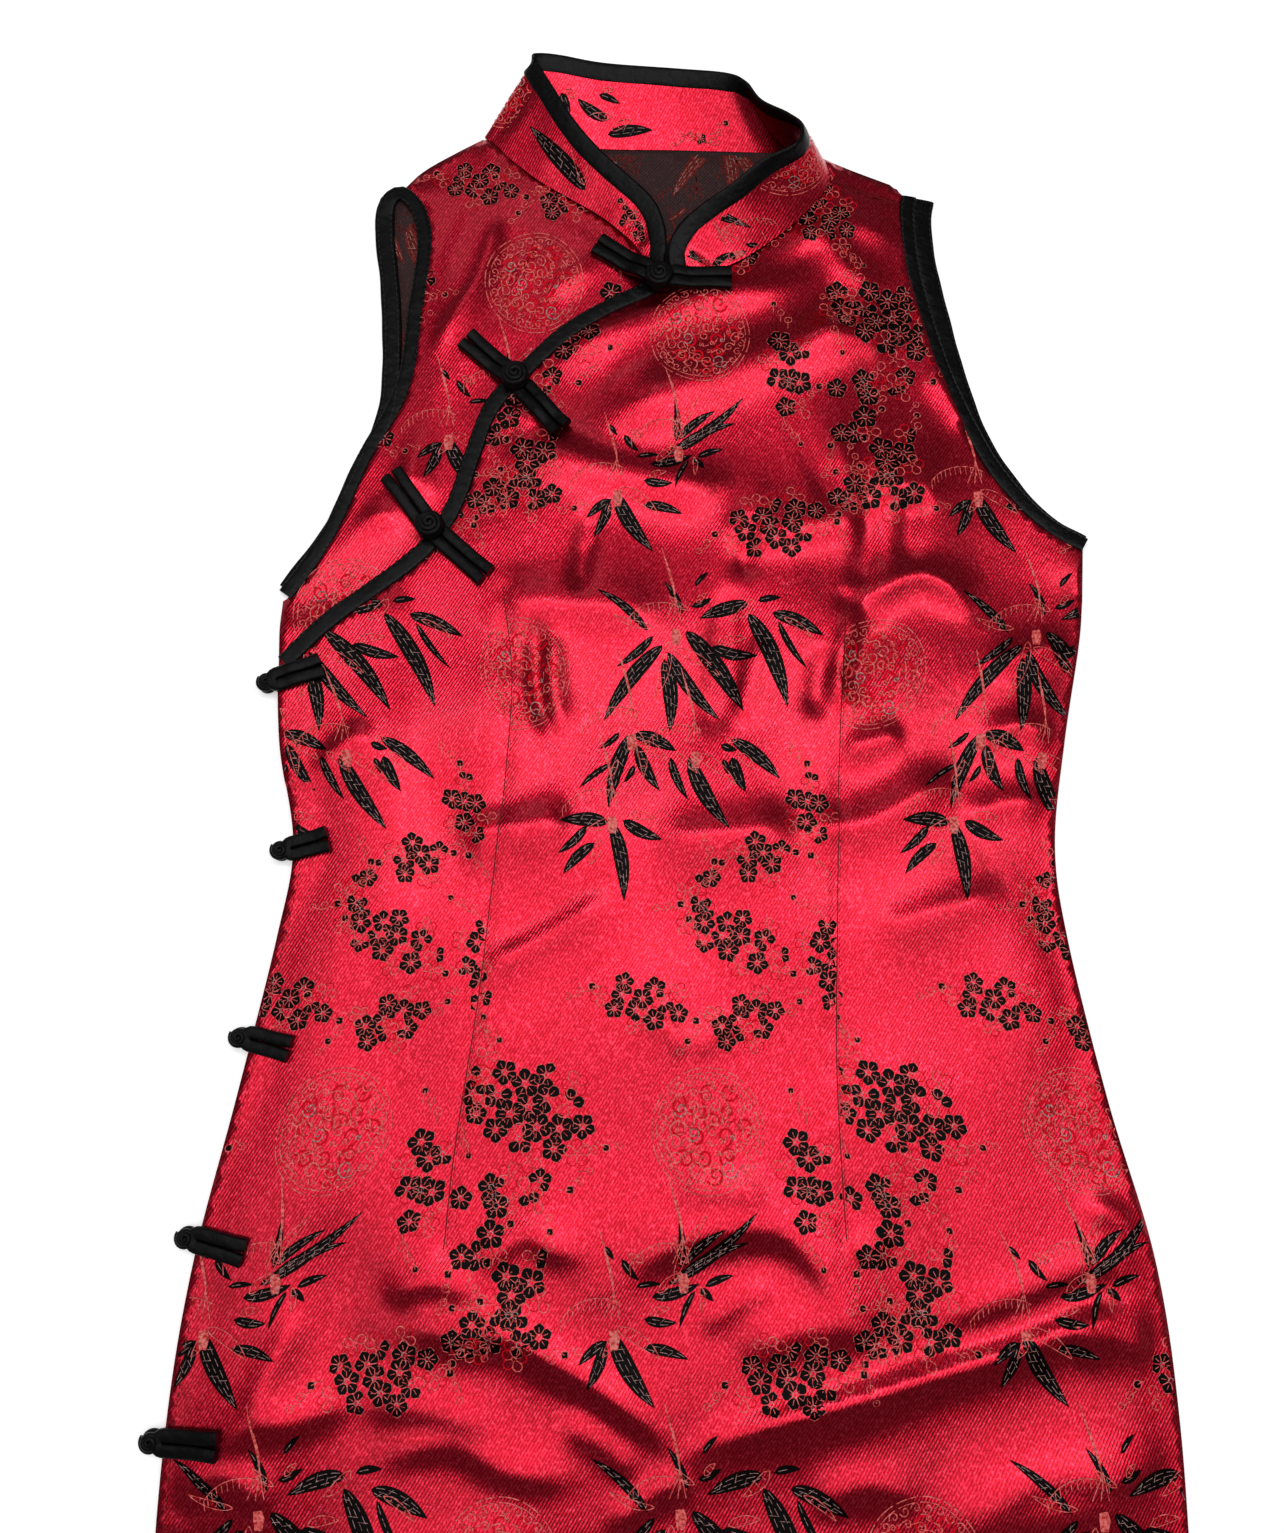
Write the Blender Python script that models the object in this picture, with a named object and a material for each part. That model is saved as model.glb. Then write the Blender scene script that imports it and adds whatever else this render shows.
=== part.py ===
"""A sleeveless maxi dress with a standing collar, bound edges and knotted cord fastenings, laid flat.

Sizes are in millimetres until a mesh is made, which is in metres. A place on the dress is given as
(across, down): across runs from the centre line to the right, and down runs from the level of the
shoulder tips towards the hem. The dress lies on z = 0 with its front up and its collar towards +Y.
"""

import math
from collections import namedtuple

import bmesh
import bpy
import numpy as np
from mathutils import Vector
from mathutils.bvhtree import BVHTree
from mathutils.geometry import delaunay_2d_cdt

MM = 0.001

# Driving sizes
CLOTH = 1.3
SEAM_GAP = 0.3
BINDING_THICKNESS = 2.4
OPENING_BINDING = 9.6
COLLAR_BINDING = 11.0
FRONT_BINDING = 8.6
BACK_BINDING = 11.4
COLLAR_THICKNESS = 2.0
HEM_DOWN = 1330.0
SLIT_DOWN = 900.0
CORD_HALF_WIDTH, CORD_HALF_HEIGHT = 3.3, 2.2
BACK_CORD_HALF_HEIGHT = 1.25
KNOT_RADIUS = 8.0
SIDE_KNOT_RADIUS = 5.4

# The middle of the finished dress, which is put at the origin
CENTRE_ACROSS = -7.05
CENTRE_DOWN = 624.5

# Heights of the undersides of the layers at the edges of the panels
BACK_TOP = CLOTH
SEAM_HEIGHT = BACK_TOP + SEAM_GAP
MAIN_OVER_UNDER = SEAM_HEIGHT + CLOTH + SEAM_GAP
ARMHOLE_HEIGHT = 3.6
NECK_HEIGHT = 5.0
INNER_HEIGHT = 4.4

# The edge that the side fastenings lift, and how far in from it the lift reaches
SIDE_LIFT = 2.9
LIFT_FIRST, LIFT_LAST = 268.0, 700.0

Width = namedtuple("Width", "name down left right")
SIDES = [
    Width("under the arms", 250, -213.5, 224.0),
    Width("bust", 275, -213.5, 220.5),
    Width("under the bust", 330, -210.0, 209.0),
    Width("waist", 385, -200.0, 200.5),
    Width("below the waist", 434, -206.0, 204.0),
    Width("high hip", 515, -222.0, 219.0),
    Width("hip", 592, -238.0, 237.0),
    Width("low hip", 665, -246.0, 243.0),
    Width("thigh", 760, -248.0, 242.5),
    Width("slit", SLIT_DOWN, -247.0, 241.0),
    Width("hem", HEM_DOWN, -240.0, 234.0),
]
SLIT_DRAWN_IN = 7.0

Place = namedtuple("Place", "across down")
LEFT_SHOULDER = [Place(-107, -39), Place(-124.5, -29), Place(-142, -18), Place(-152, -9.5)]
RIGHT_SHOULDER = [Place(88.5, -24.5), Place(105.5, -16.5), Place(123, -9), Place(133, -4.8)]
BACK_NECK = [Place(-107, -38), Place(-60, -31.2), Place(0, -30.4), Place(50, -29), Place(88.5, -24.5)]

# Middles of the armhole bindings. The left one runs up the front, over the shoulder and down the back.
LEFT_FRONT_ARMHOLE = [
    Place(-212, 246.5), Place(-202, 232), Place(-190, 211), Place(-183, 194), Place(-176, 175),
    Place(-169, 159), Place(-158, 138), Place(-152, 121), Place(-149, 103), Place(-147, 76),
    Place(-144, 50), Place(-143, 29), Place(-146, 14), Place(-151, 5), Place(-157.5, -0.5),
]
LEFT_BACK_ARMHOLE = [
    Place(-163.5, 1.5), Place(-167, 9), Place(-166.6, 28), Place(-163.5, 51), Place(-161, 77),
    Place(-159.7, 105), Place(-160.6, 135), Place(-169, 163), Place(-178, 187), Place(-191, 212),
    Place(-203, 230), Place(-211.5, 243),
]
RIGHT_FRONT_ARMHOLE = [
    Place(139, 2.5), Place(137.4, 14), Place(138, 36), Place(141, 60), Place(148, 91),
    Place(157, 122), Place(168, 149), Place(180, 173), Place(196, 194.5), Place(211, 208.5),
    Place(227, 218),
]
RIGHT_BACK_ARMHOLE = [
    Place(148.5, 3), Place(146.5, 14), Place(147, 34), Place(150.6, 60), Place(156, 88),
    Place(162.5, 118), Place(169.4, 143), Place(180, 167.5), Place(196, 192), Place(211, 207),
    Place(226.5, 216.5),
]
# The middle of the binding on the slanting front opening
OPENING = [
    Place(-1, 51), Place(-14, 62), Place(-34, 72), Place(-60, 89), Place(-84, 113),
    Place(-102, 136), Place(-112, 165), Place(-121, 194), Place(-136, 219), Place(-166, 245),
    Place(-190, 265), Place(-210, 286),
]
# The edge of the under panel that the main panel hides
HIDDEN_EDGE = [
    Place(4, 62), Place(6, 100), Place(-18, 146), Place(-54, 190), Place(-84, 238),
    Place(-130, 290), Place(-208, 330),
]

# Sections of the collar, from its left front end round the back of the neck to its right front end
Section = namedtuple("Section", "name seam_across seam_down seam_z top_across top_down top_z")
COLLAR = [
    Section("left end", -12, 48, 7.4, -4.5, 51, 10.5),
    Section("left corner low", -17, 41, 7.3, -3, 37, 12.5),
    Section("left corner", -21, 34.5, 7.2, -5, 24, 14.5),
    Section("left corner high", -29, 26.5, 7.1, -11, 11, 16.5),
    Section("left front", -42, 15.5, 7.0, -23, -0.5, 18.5),
    Section("left front high", -60, 4, 7.0, -41.5, -17.5, 21),
    Section("left side front", -78, -8, 6.6, -57, -36, 23),
    Section("left side", -96, -24, 5.6, -69, -57, 23),
    Section("left fold front", -106, -33.5, 4.4, -76, -70, 22),
    Section("left fold", -109, -38, 3.4, -78.5, -77, 21),
    Section("left fold back", -104, -39.5, 2.2, -74.5, -80.5, 19.8),
    Section("left side back", -86, -36.5, 1.4, -63, -80.5, 19),
    Section("back left", -45, -32, 1.4, -38, -76.5, 18),
    Section("back", 5, -31, 1.4, 4, -72, 19),
    Section("back right", 40, -30, 1.4, 30, -67, 21.5),
    Section("back right high", 58, -29.8, 1.4, 41.5, -58, 25),
    Section("right side back", 72, -30, 1.6, 51, -42, 30),
    Section("right shoulder", 82, -29, 2.2, 65.5, -29, 36),
    Section("right fold", 88, -24.5, 3.4, 73, -19.5, 38),
    Section("right side", 92.5, -9, 5.4, 69, -8.5, 37),
    Section("right side front", 80.5, 10, 6.6, 50, -0.5, 33),
    Section("right front high", 62.5, 28, 7.0, 33, 10.5, 27.5),
    Section("right front", 42, 43, 7.0, 16, 19.5, 21.5),
    Section("right corner high", 29, 49.5, 7.1, 5, 27.5, 17),
    Section("right corner", 20, 53, 7.2, -1, 38, 13.5),
    Section("right end", 9, 55, 7.4, -0.5, 51, 10.5),
]

# Soft ridges of the front, where width is half of a ridge's foot and bow is how far its middle is
# pushed to the right of the straight line from its start to its end
Fold = namedtuple("Fold", "name from_across from_down to_across to_down bow height width")
FOLDS = [
    Fold("chest sweep", -42, 128, 96, 44, -10, 4.0, 24),
    Fold("chest sweep low", -60, 168, 60, 128, -6, 2.6, 22),
    Fold("left shoulder", -104, 2, -128, 86, 4, 3.6, 17),
    Fold("left chest", -70, 30, -104, 96, -6, 2.6, 15),
    Fold("right shoulder", 66, 44, 128, 66, 8, 3.6, 20),
    Fold("right chest", 86, 92, 132, 176, -10, 3.0, 20),
    Fold("right bust side", 97, 258, 92, 302, 5, 7.0, 13),
    Fold("right bust top", 98, 262, 142, 234, -6, 6.4, 13),
    Fold("left bust", -96, 246, -90, 318, -3, 3.6, 14),
    Fold("left bust inner", -52, 236, -56, 316, 6, 3.4, 18),
    Fold("under the bust", 30, 316, 140, 286, 8, 3.4, 19),
    Fold("right waist high", 92, 352, 158, 318, 6, 3.8, 17),
    Fold("right waist", 88, 396, 160, 372, -6, 3.0, 17),
    Fold("left waist high", -84, 352, -36, 322, 6, 3.4, 16),
    Fold("left waist", -92, 424, -28, 372, 8, 3.8, 17),
    Fold("left waist low", -108, 470, -30, 430, 6, 2.8, 18),
    Fold("middle waist", -24, 424, 60, 404, 8, 2.6, 19),
    Fold("right hip high", 96, 500, 186, 452, -8, 2.6, 22),
    Fold("arc left", -44, 584, 22, 560, -8, 5.4, 14),
    Fold("arc right", 18, 560, 88, 604, -12, 5.4, 14),
    Fold("left hip sweep", -150, 600, -66, 566, 6, 2.8, 20),
    Fold("right hip sweep", 118, 596, 214, 566, 7, 3.0, 18),
    Fold("vee left", -76, 636, -2, 690, 4, 7.2, 14),
    Fold("vee right", 0, 691, 236, 612, -9, 8.2, 15),
    Fold("left hip low", -206, 660, -96, 640, 9, 3.2, 20),
    Fold("right thigh", 120, 706, 226, 690, 8, 3.4, 20),
    Fold("left thigh", -170, 742, -60, 716, 10, 4.0, 22),
    Fold("middle thigh", -20, 790, 120, 748, -12, 5.0, 24),
    Fold("long left", -120, 830, -150, 1060, 14, 5.0, 26),
    Fold("long middle", 24, 860, -8, 1130, -16, 5.6, 28),
    Fold("long right", 150, 820, 128, 1050, 12, 4.6, 26),
    Fold("left knee", -190, 1030, -90, 980, 10, 3.6, 24),
    Fold("right knee", 60, 1010, 190, 960, -10, 4.2, 24),
    Fold("hem left", -110, 1130, -128, 1300, -8, 4.6, 26),
    Fold("hem middle", 40, 1170, 52, 1316, 8, 4.6, 26),
    Fold("hem right", 160, 1120, 172, 1300, -6, 3.8, 24),
]

# Low waves all over the front: the length of a wave, the way it runs in degrees, its height and start
Wave = namedtuple("Wave", "length way height start")
WAVES = [
    Wave(151, 24, 0.65, 0.3), Wave(118, 112, 0.60, 1.9), Wave(93, 66, 0.50, 4.1),
    Wave(83, 151, 0.45, 2.6), Wave(71, 8, 0.38, 5.2),
]

# Knotted cord fastenings on the slanting opening: the knot and the far ends of its two straps
Frog = namedtuple("Frog", "name across down left_across left_down right_across right_down")
FRONT_FROGS = [
    Frog("neck", -7, 58, -43, 35, 34, 60),
    Frog("chest", -88, 120, -117, 95, -62, 151),
    Frog("armhole", -133, 209, -156, 178, -102, 237),
]
# Fastenings on the side opening: how far down the knot is, and the far end of the front strap
SideFrog = namedtuple("SideFrog", "name down end_across end_down")
SIDE_FROGS = [
    SideFrog("side_1", 297, -189, 288), SideFrog("side_2", 388, -181, 382),
    SideFrog("side_3", 484, -195, 490), SideFrog("side_4", 581, -212, 588),
    SideFrog("side_5", 674, -219, 675),
]
BACK_STRAP = 20.0

# How close the points of the panels lie, down to the thighs and below them
FINE_STEP, COARSE_STEP, COARSE_FROM = 15.0, 30.0, 730.0


def material(name, colour, roughness, metallic=0.0):
    made = bpy.data.materials.new(name)
    made.use_nodes = True
    shader = made.node_tree.nodes["Principled BSDF"]
    shader.inputs["Base Color"].default_value = (*colour, 1.0)
    shader.inputs["Roughness"].default_value = roughness
    shader.inputs["Metallic"].default_value = metallic
    return made


def clear_scene():
    for obj in list(bpy.data.objects):
        bpy.data.objects.remove(obj)


# Curves in the plane of the dress


def smooth(points, step):
    """Points about every step along the smooth curve that goes through the given ones."""
    p = np.array([list(q) for q in points], float)
    p = np.vstack([2 * p[0] - p[1], p, 2 * p[-1] - p[-2]])
    found = []
    for a, b, c, d in zip(p[:-3], p[1:-2], p[2:-1], p[3:]):
        count = max(1, round(float(np.linalg.norm(c - b)) / step))
        for t in np.arange(count) / count:
            found.append(
                0.5 * (2 * b + (c - a) * t + (2 * a - 5 * b + 4 * c - d) * t**2
                       + (3 * b - a - 3 * c + d) * t**3)
            )
    found.append(p[-2])
    return np.array(found)


def smooth_rows(rows, at):
    """The smooth curve through the rows, read at places counted in rows."""
    p = np.array(rows, float)
    p = np.vstack([2 * p[0] - p[1], p, 2 * p[-1] - p[-2]])
    i = np.minimum(at.astype(int), len(rows) - 2)
    t = (at - i)[:, None]
    a, b, c, d = p[i], p[i + 1], p[i + 2], p[i + 3]
    return 0.5 * (2 * b + (c - a) * t + (2 * a - 5 * b + 4 * c - d) * t**2 + (3 * b - a - 3 * c + d) * t**3)


def offset(line, distance):
    """The line moved sideways: to the left of its way along, as seen on the dress, if distance is positive."""
    way = np.gradient(line[:, :2], axis=0)
    way /= np.linalg.norm(way, axis=1)[:, None]
    return line[:, :2] + distance * np.stack([way[:, 1], -way[:, 0]], axis=1)


def side(which, drawn_in=0.0):
    """The left or right edge below the arm. Below the slit it is drawn in towards the hem."""
    places = []
    for row in SIDES:
        open_part = max(0.0, (row.down - SLIT_DOWN) / (HEM_DOWN - SLIT_DOWN))
        across = getattr(row, which)
        places.append(Place(across - math.copysign(drawn_in * open_part, across), row.down))
    return smooth(places, FINE_STEP)


LEFT_SIDE, RIGHT_SIDE = side("left"), side("right")


def side_at(line, down):
    return np.interp(down, line[:, 1], line[:, 0])


def distance_to(line, across, down):
    """How far each place is from the line."""
    best = np.full(np.shape(across), 1e9)
    for (ax, ad), (bx, bd) in zip(line[:-1, :2], line[1:, :2]):
        length = max((bx - ax) ** 2 + (bd - ad) ** 2, 1e-9)
        t = np.clip(((across - ax) * (bx - ax) + (down - ad) * (bd - ad)) / length, 0, 1)
        best = np.minimum(best, np.hypot(across - ax - t * (bx - ax), down - ad - t * (bd - ad)))
    return best


def inside(outline, across, down):
    """Whether each place is within the closed outline."""
    found = np.zeros(np.shape(across), bool)
    for (ax, ad), (bx, bd) in zip(outline, np.roll(outline, -1, axis=0)):
        crosses = (ad > down) != (bd > down)
        with np.errstate(divide="ignore", invalid="ignore"):
            at = ax + (down - ad) * (bx - ax) / (bd - ad)
        found ^= crosses & (across < at)
    return found


def ease(x):
    """0 below 0, 1 above 1, and smooth between them."""
    x = np.clip(x, 0.0, 1.0)
    return x * x * (3 - 2 * x)


# Heights of the layers


def fold_line(fold, count=9):
    start = np.array([fold.from_across, fold.from_down])
    end = np.array([fold.to_across, fold.to_down])
    way = end - start
    right = np.array([-way[1], way[0]]) / np.linalg.norm(way)
    middle = (start + end) / 2 + 2 * fold.bow * right
    t = np.linspace(0, 1, count)[:, None]
    return (1 - t) ** 2 * start + 2 * t * (1 - t) * middle + t**2 * end


def folds(across, down):
    """The height that the soft ridges and low waves add to the front."""
    total = np.zeros(np.shape(across))
    for fold in FOLDS:
        line = fold_line(fold)
        share = np.zeros(np.shape(across))
        for i, (a, b) in enumerate(zip(line[:-1], line[1:])):
            way = b - a
            t = np.clip(((across - a[0]) * way[0] + (down - a[1]) * way[1]) / (way @ way), 0, 1)
            away = np.hypot(across - a[0] - t * way[0], down - a[1] - t * way[1])
            along = (i + t) / (len(line) - 1)
            taper = ease(np.minimum(along, 1 - along) / 0.22) * 0.8 + 0.2
            share = np.maximum(share, taper * np.exp(-((away / fold.width) ** 2) * 1.4))
        total += fold.height * share
    for wave in WAVES:
        way = math.radians(wave.way)
        run = (across * math.cos(way) + down * math.sin(way)) / wave.length
        total += wave.height * np.sin(2 * math.pi * run + wave.start)
    return total


def lift(across, down, reach):
    """How far the cords below the left edge hold it up. Each layer's lift reaches further than the one below."""
    inward = across - side_at(LEFT_SIDE, down)
    along = ease((down - LIFT_FIRST + reach) / 24) * ease((LIFT_LAST + reach - down) / 24)
    return SIDE_LIFT * along * (1 - ease((inward - 19 - reach) / 24))


BACK_REACH, UNDER_REACH, MAIN_REACH = 10.0, 22.0, 34.0


def between_edges(across, down, edges, inner):
    """A height that is each edge's own at that edge and eases to the inner height away from all of them."""
    weights, total = np.full(np.shape(across), 1 / 26.0**3), np.full(np.shape(across), inner / 26.0**3)
    for line, height in edges:
        weight = 1 / (distance_to(line, across, down) + 1.5) ** 3
        weights, total = weights + weight, total + weight * height
    return total / weights


def back_underside(across, down):
    return lift(across, down, BACK_REACH)


def under_underside(across, down):
    """The under panel is flat where the main panel hides it and softly raised where it shows."""
    shown = ease((distance_to(OPENING_LINE, across, down) - 6) / 30)
    shown = np.where(inside(UNDER_SHOWN, across, down), shown, 0.0)
    edges = [
        (LEFT_FRONT_CUT, ARMHOLE_HEIGHT),
        (smooth(LEFT_SHOULDER, 20), SEAM_HEIGHT),
        (LEFT_NECK, NECK_HEIGHT),
        (np.array([[-213.5, 244], [-212, 300]]), SEAM_HEIGHT),
    ]
    raised = between_edges(across, down, edges, INNER_HEIGHT) - SEAM_HEIGHT
    fade = ease(distance_to(np.vstack([line for line, _ in edges]), across, down) / 20)
    ridges = np.maximum(folds(across, down) * fade, -0.8)
    return SEAM_HEIGHT + lift(across, down, UNDER_REACH) + shown * np.maximum(raised + ridges, 0)


def main_underside(across, down):
    """The main panel rests on the under panel at the opening and on the back panel at its other edges."""
    edges = [
        (RIGHT_FRONT_CUT, ARMHOLE_HEIGHT),
        (smooth(RIGHT_SHOULDER, 20), SEAM_HEIGHT),
        (RIGHT_NECK, NECK_HEIGHT),
        (OPENING_LINE, MAIN_OVER_UNDER),
        (RIGHT_SIDE, SEAM_HEIGHT),
        (LEFT_SIDE[LEFT_SIDE[:, 1] > 340], SEAM_HEIGHT),
    ]
    base = between_edges(across, down, edges, INNER_HEIGHT)
    from_side = np.minimum(across - side_at(LEFT_SIDE, down), side_at(RIGHT_SIDE, down) - across)
    from_edge = distance_to(np.vstack([edges[2][0], OPENING_LINE]), across, down)
    fade = ease(np.minimum(from_side, from_edge) / 22 + 0.05)
    above_hem = ease((HEM_DOWN - down) / 40) * 0.7 + 0.3
    height = base + folds(across, down) * fade * above_hem
    over_under = (down < 352) & (across < side_at(HIDDEN_ACROSS, down) + 24)
    lowest = np.where(over_under, MAIN_OVER_UNDER, SEAM_HEIGHT)
    return np.maximum(height, lowest) + lift(across, down, MAIN_REACH)


OPENING_LINE = smooth(OPENING, 8)
HIDDEN_ACROSS = smooth(HIDDEN_EDGE, 10)
COLLAR_WALL = COLLAR_THICKNESS / 2 + SEAM_GAP


def collar_seam(first, last):
    """The line that the collar is sewn along, between two named sections."""
    names = [s.name for s in COLLAR]
    at = np.arange(names.index(first), names.index(last) + 0.01, 1 / 3)
    return smooth_rows([(s.seam_across, s.seam_down) for s in COLLAR], at)


LEFT_NECK = offset(collar_seam("left end", "left fold front"), COLLAR_WALL)
RIGHT_NECK = offset(collar_seam("right fold", "right end"), COLLAR_WALL)
LEFT_FRONT_CUT = offset(smooth(LEFT_FRONT_ARMHOLE, 14), -FRONT_BINDING / 2 - SEAM_GAP)[::-1]
RIGHT_FRONT_CUT = offset(smooth(RIGHT_FRONT_ARMHOLE, 14), -FRONT_BINDING / 2 - SEAM_GAP)
UNDER_SHOWN = np.vstack([OPENING_LINE, [[-300, 300], [-300, -80], [20, -80]]])


# Meshes


def to_frame(across, down, height):
    """A place on the dress in the model's own frame, in metres."""
    return MM * (across - CENTRE_ACROSS), MM * (CENTRE_DOWN - down), MM * height


def add_object(name, points, faces, made_of, smooth_angle=40):
    mesh = bpy.data.meshes.new(name)
    mesh.from_pydata([to_frame(*p) for p in points], [], faces)
    work = bmesh.new()
    work.from_mesh(mesh)
    bmesh.ops.recalc_face_normals(work, faces=work.faces)
    work.to_mesh(mesh)
    work.free()
    mesh.shade_smooth()
    mesh.set_sharp_from_angle(angle=math.radians(smooth_angle))
    mesh.materials.append(made_of)
    obj = bpy.data.objects.new(name, mesh)
    bpy.context.scene.collection.objects.link(obj)
    return obj


def filled(outline, step_above, step_below):
    """Points and triangles that fill the outline: a grid inside it, joined to the points along it."""
    keep = [outline[0]]
    for p in outline[1:]:
        if np.linalg.norm(p - keep[-1]) > 3.0:
            keep.append(p)
    if np.linalg.norm(keep[0] - keep[-1]) <= 3.0:
        keep.pop()
    outline = np.array(keep)
    (low_across, low_down), (high_across, high_down) = outline.min(0), outline.max(0)
    grids = []
    for step, first, last in (
        (step_above, low_down, min(COARSE_FROM, high_down)),
        (step_below, COARSE_FROM + step_below * 0.3, high_down),
    ):
        across, down = np.meshgrid(
            np.arange(low_across + step / 2, high_across, step), np.arange(first + step / 2, last, step)
        )
        across = across + (np.arange(len(down)) % 2)[:, None] * step / 2
        across, down = across.ravel(), down.ravel()
        clear = distance_to(np.vstack([outline, outline[:1]]), across, down) > 0.55 * step
        clear &= inside(outline, across, down)
        grids.append(np.stack([across[clear], down[clear]], axis=1))
    points = np.vstack([outline, *grids])
    count = len(outline)
    made = delaunay_2d_cdt(
        [Vector(p) for p in points], [(i, (i + 1) % count) for i in range(count)], [], 1, 1e-4
    )
    return np.array([list(v) for v in made[0]]), [list(f) for f in made[2]]


def panel(name, outline, underside, made_of, step_above=FINE_STEP, step_below=COARSE_STEP):
    """A wall of cloth that fills the outline, with its underside at the height that the function gives."""
    flat, triangles = filled(outline, step_above, step_below)
    low = underside(flat[:, 0], flat[:, 1])
    count = len(flat)
    points = [(*p, z) for p, z in zip(flat, low)] + [(*p, z + CLOTH) for p, z in zip(flat, low)]
    edges = {}
    for f in triangles:
        for a, b in zip(f, f[1:] + f[:1]):
            edges[a, b] = True
    rim = [(a, b) for a, b in edges if (b, a) not in edges]
    faces = [f[::-1] for f in triangles] + [[i + count for i in f] for f in triangles]
    faces += [[a, b, b + count, a + count] for a, b in rim]
    return add_object(name, points, faces, made_of)


def sweep(name, rings, made_of, closed=False):
    """A solid through rings of points, each with the same number of them, with flat ends."""
    count, size = len(rings), len(rings[0])
    points = [tuple(p) for ring in rings for p in ring]
    faces = []
    for i in range(count if closed else count - 1):
        for j in range(size):
            k, n = (j + 1) % size, (i + 1) % count
            faces.append([i * size + j, i * size + k, n * size + k, n * size + j])
    if not closed:
        faces += [list(range(size)), list(range((count - 1) * size, count * size))[::-1]]
    return add_object(name, points, faces, made_of)


def binding(name, path, wide, width, made_of):
    """A flattened tube along the path. wide is the way across it and width its size there, at each point."""
    way = np.gradient(path, axis=0)
    way /= np.linalg.norm(way, axis=1)[:, None]
    wide = wide - (wide * way).sum(1)[:, None] * way
    wide /= np.linalg.norm(wide, axis=1)[:, None]
    up = np.cross(wide, way)
    rings = []
    for p, w, u, size in zip(path, wide, up, np.broadcast_to(width, len(path))):
        half, high, flat = size / 2, BINDING_THICKNESS / 2, size / 2 - min(1.6, size * 0.3)
        section = [(-half, 0), (-flat, high), (flat, high), (half, 0), (flat, -high), (-flat, -high)]
        rings.append([p + x * w + z * u for x, z in section])
    return sweep(name, rings, made_of)


def level_binding(name, line, height, width, made_of):
    """A binding whose width lies level along a line, with its middle at the height given along the line."""
    path = np.column_stack([line, np.broadcast_to(height, len(line))])
    way = np.gradient(line, axis=0)
    wide = np.column_stack([way[:, 1], -way[:, 0], np.zeros(len(line))])
    return binding(name, path, wide, width, made_of)


def tree_of(obj):
    """The object's triangles, for finding what lies below a place."""
    mesh = obj.data
    return BVHTree.FromPolygons([v.co for v in mesh.vertices], [list(p.vertices) for p in mesh.polygons])


def top_below(trees, across, down, radius):
    """The highest point of the objects below a disc, in millimetres, or 0 where there is nothing."""
    best = 0.0
    for turn in range(9):
        reach = radius if turn else 0.0
        x, y, _ = to_frame(
            across + reach * math.cos(turn * math.pi / 4), down + reach * math.sin(turn * math.pi / 4), 0
        )
        for tree in trees:
            hit = tree.ray_cast(Vector((x, y, 1.0)), Vector((0, 0, -1)))[0]
            if hit is not None:
                best = max(best, hit.z / MM)
    return best


# The pieces of the dress


def back_outline():
    left = offset(smooth(LEFT_BACK_ARMHOLE[1:], 14), BACK_BINDING / 2 + SEAM_GAP)
    right = offset(smooth(RIGHT_BACK_ARMHOLE[1:], 14), -BACK_BINDING / 2 - SEAM_GAP)
    neck = smooth(BACK_NECK, 20) + [0, COLLAR_WALL]
    return np.vstack([
        side("left"), side("right")[::-1], right[::-1], smooth(RIGHT_SHOULDER, 14)[-1:0:-1],
        neck[::-1], smooth(LEFT_SHOULDER, 14)[1:], left,
    ])


def under_outline():
    left_side = side("left")
    left_side = left_side[left_side[:, 1] < 326]
    return np.vstack([
        LEFT_FRONT_CUT, left_side, smooth(HIDDEN_EDGE, 14)[::-1], LEFT_NECK,
        smooth(LEFT_SHOULDER, 14)[1:-1],
    ])


def main_outline():
    left = side("left", SLIT_DRAWN_IN)
    left = left[left[:, 1] > 292]
    cut = offset(smooth(OPENING, 12), OPENING_BINDING / 2 + SEAM_GAP)
    return np.vstack([
        left, side("right", SLIT_DRAWN_IN)[::-1], RIGHT_FRONT_CUT[::-1],
        smooth(RIGHT_SHOULDER, 14)[-2:0:-1], RIGHT_NECK, cut,
    ])


COLLAR_STATIONS = 72


def collar_line(share):
    """As collar_points, with the same number of points at each share, so that they lie above each other."""
    spread = np.linspace(0, len(COLLAR) - 1, COLLAR_STATIONS)
    seam = smooth_rows([(s.seam_across, s.seam_down, s.seam_z) for s in COLLAR], spread)
    top = smooth_rows([(s.top_across, s.top_down, s.top_z) for s in COLLAR], spread)
    return seam + share * (top - seam)


def collar(made_of, bound_with):
    """The collar's band, and the binding along its upper edge."""
    seam, top = collar_line(0.0), collar_line(1.0)
    rise = top - seam
    height = np.linalg.norm(rise, axis=1)
    up = rise / height[:, None]
    way = np.gradient((seam + top) / 2, axis=0)
    face = np.cross(way, up)
    face /= np.linalg.norm(face, axis=1)[:, None]
    band_width = np.minimum(COLLAR_BINDING, height - 1.6)
    low = seam + 0.2 * up
    high = top - (band_width + SEAM_GAP)[:, None] * up
    half = COLLAR_THICKNESS / 2
    rings = [[a - half * f, (a + b) / 2 - half * f, b - half * f, b + half * f, (a + b) / 2 + half * f,
              a + half * f] for a, b, f in zip(low, high, face)]
    band = sweep("collar", rings, made_of)
    middle = top - band_width[:, None] / 2 * up
    thick = BINDING_THICKNESS / 2 + 0.1
    rings = []
    for m, u, f, w in zip(middle, up, face, band_width / 2):
        corner = min(1.6, w * 0.6)
        rings.append([m - w * u, m + thick * f - (w - corner) * u, m + thick * f + (w - corner) * u, m + w * u,
                      m - thick * f + (w - corner) * u, m - thick * f - (w - corner) * u])
    return band, sweep("collar_binding", rings, bound_with)


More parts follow.
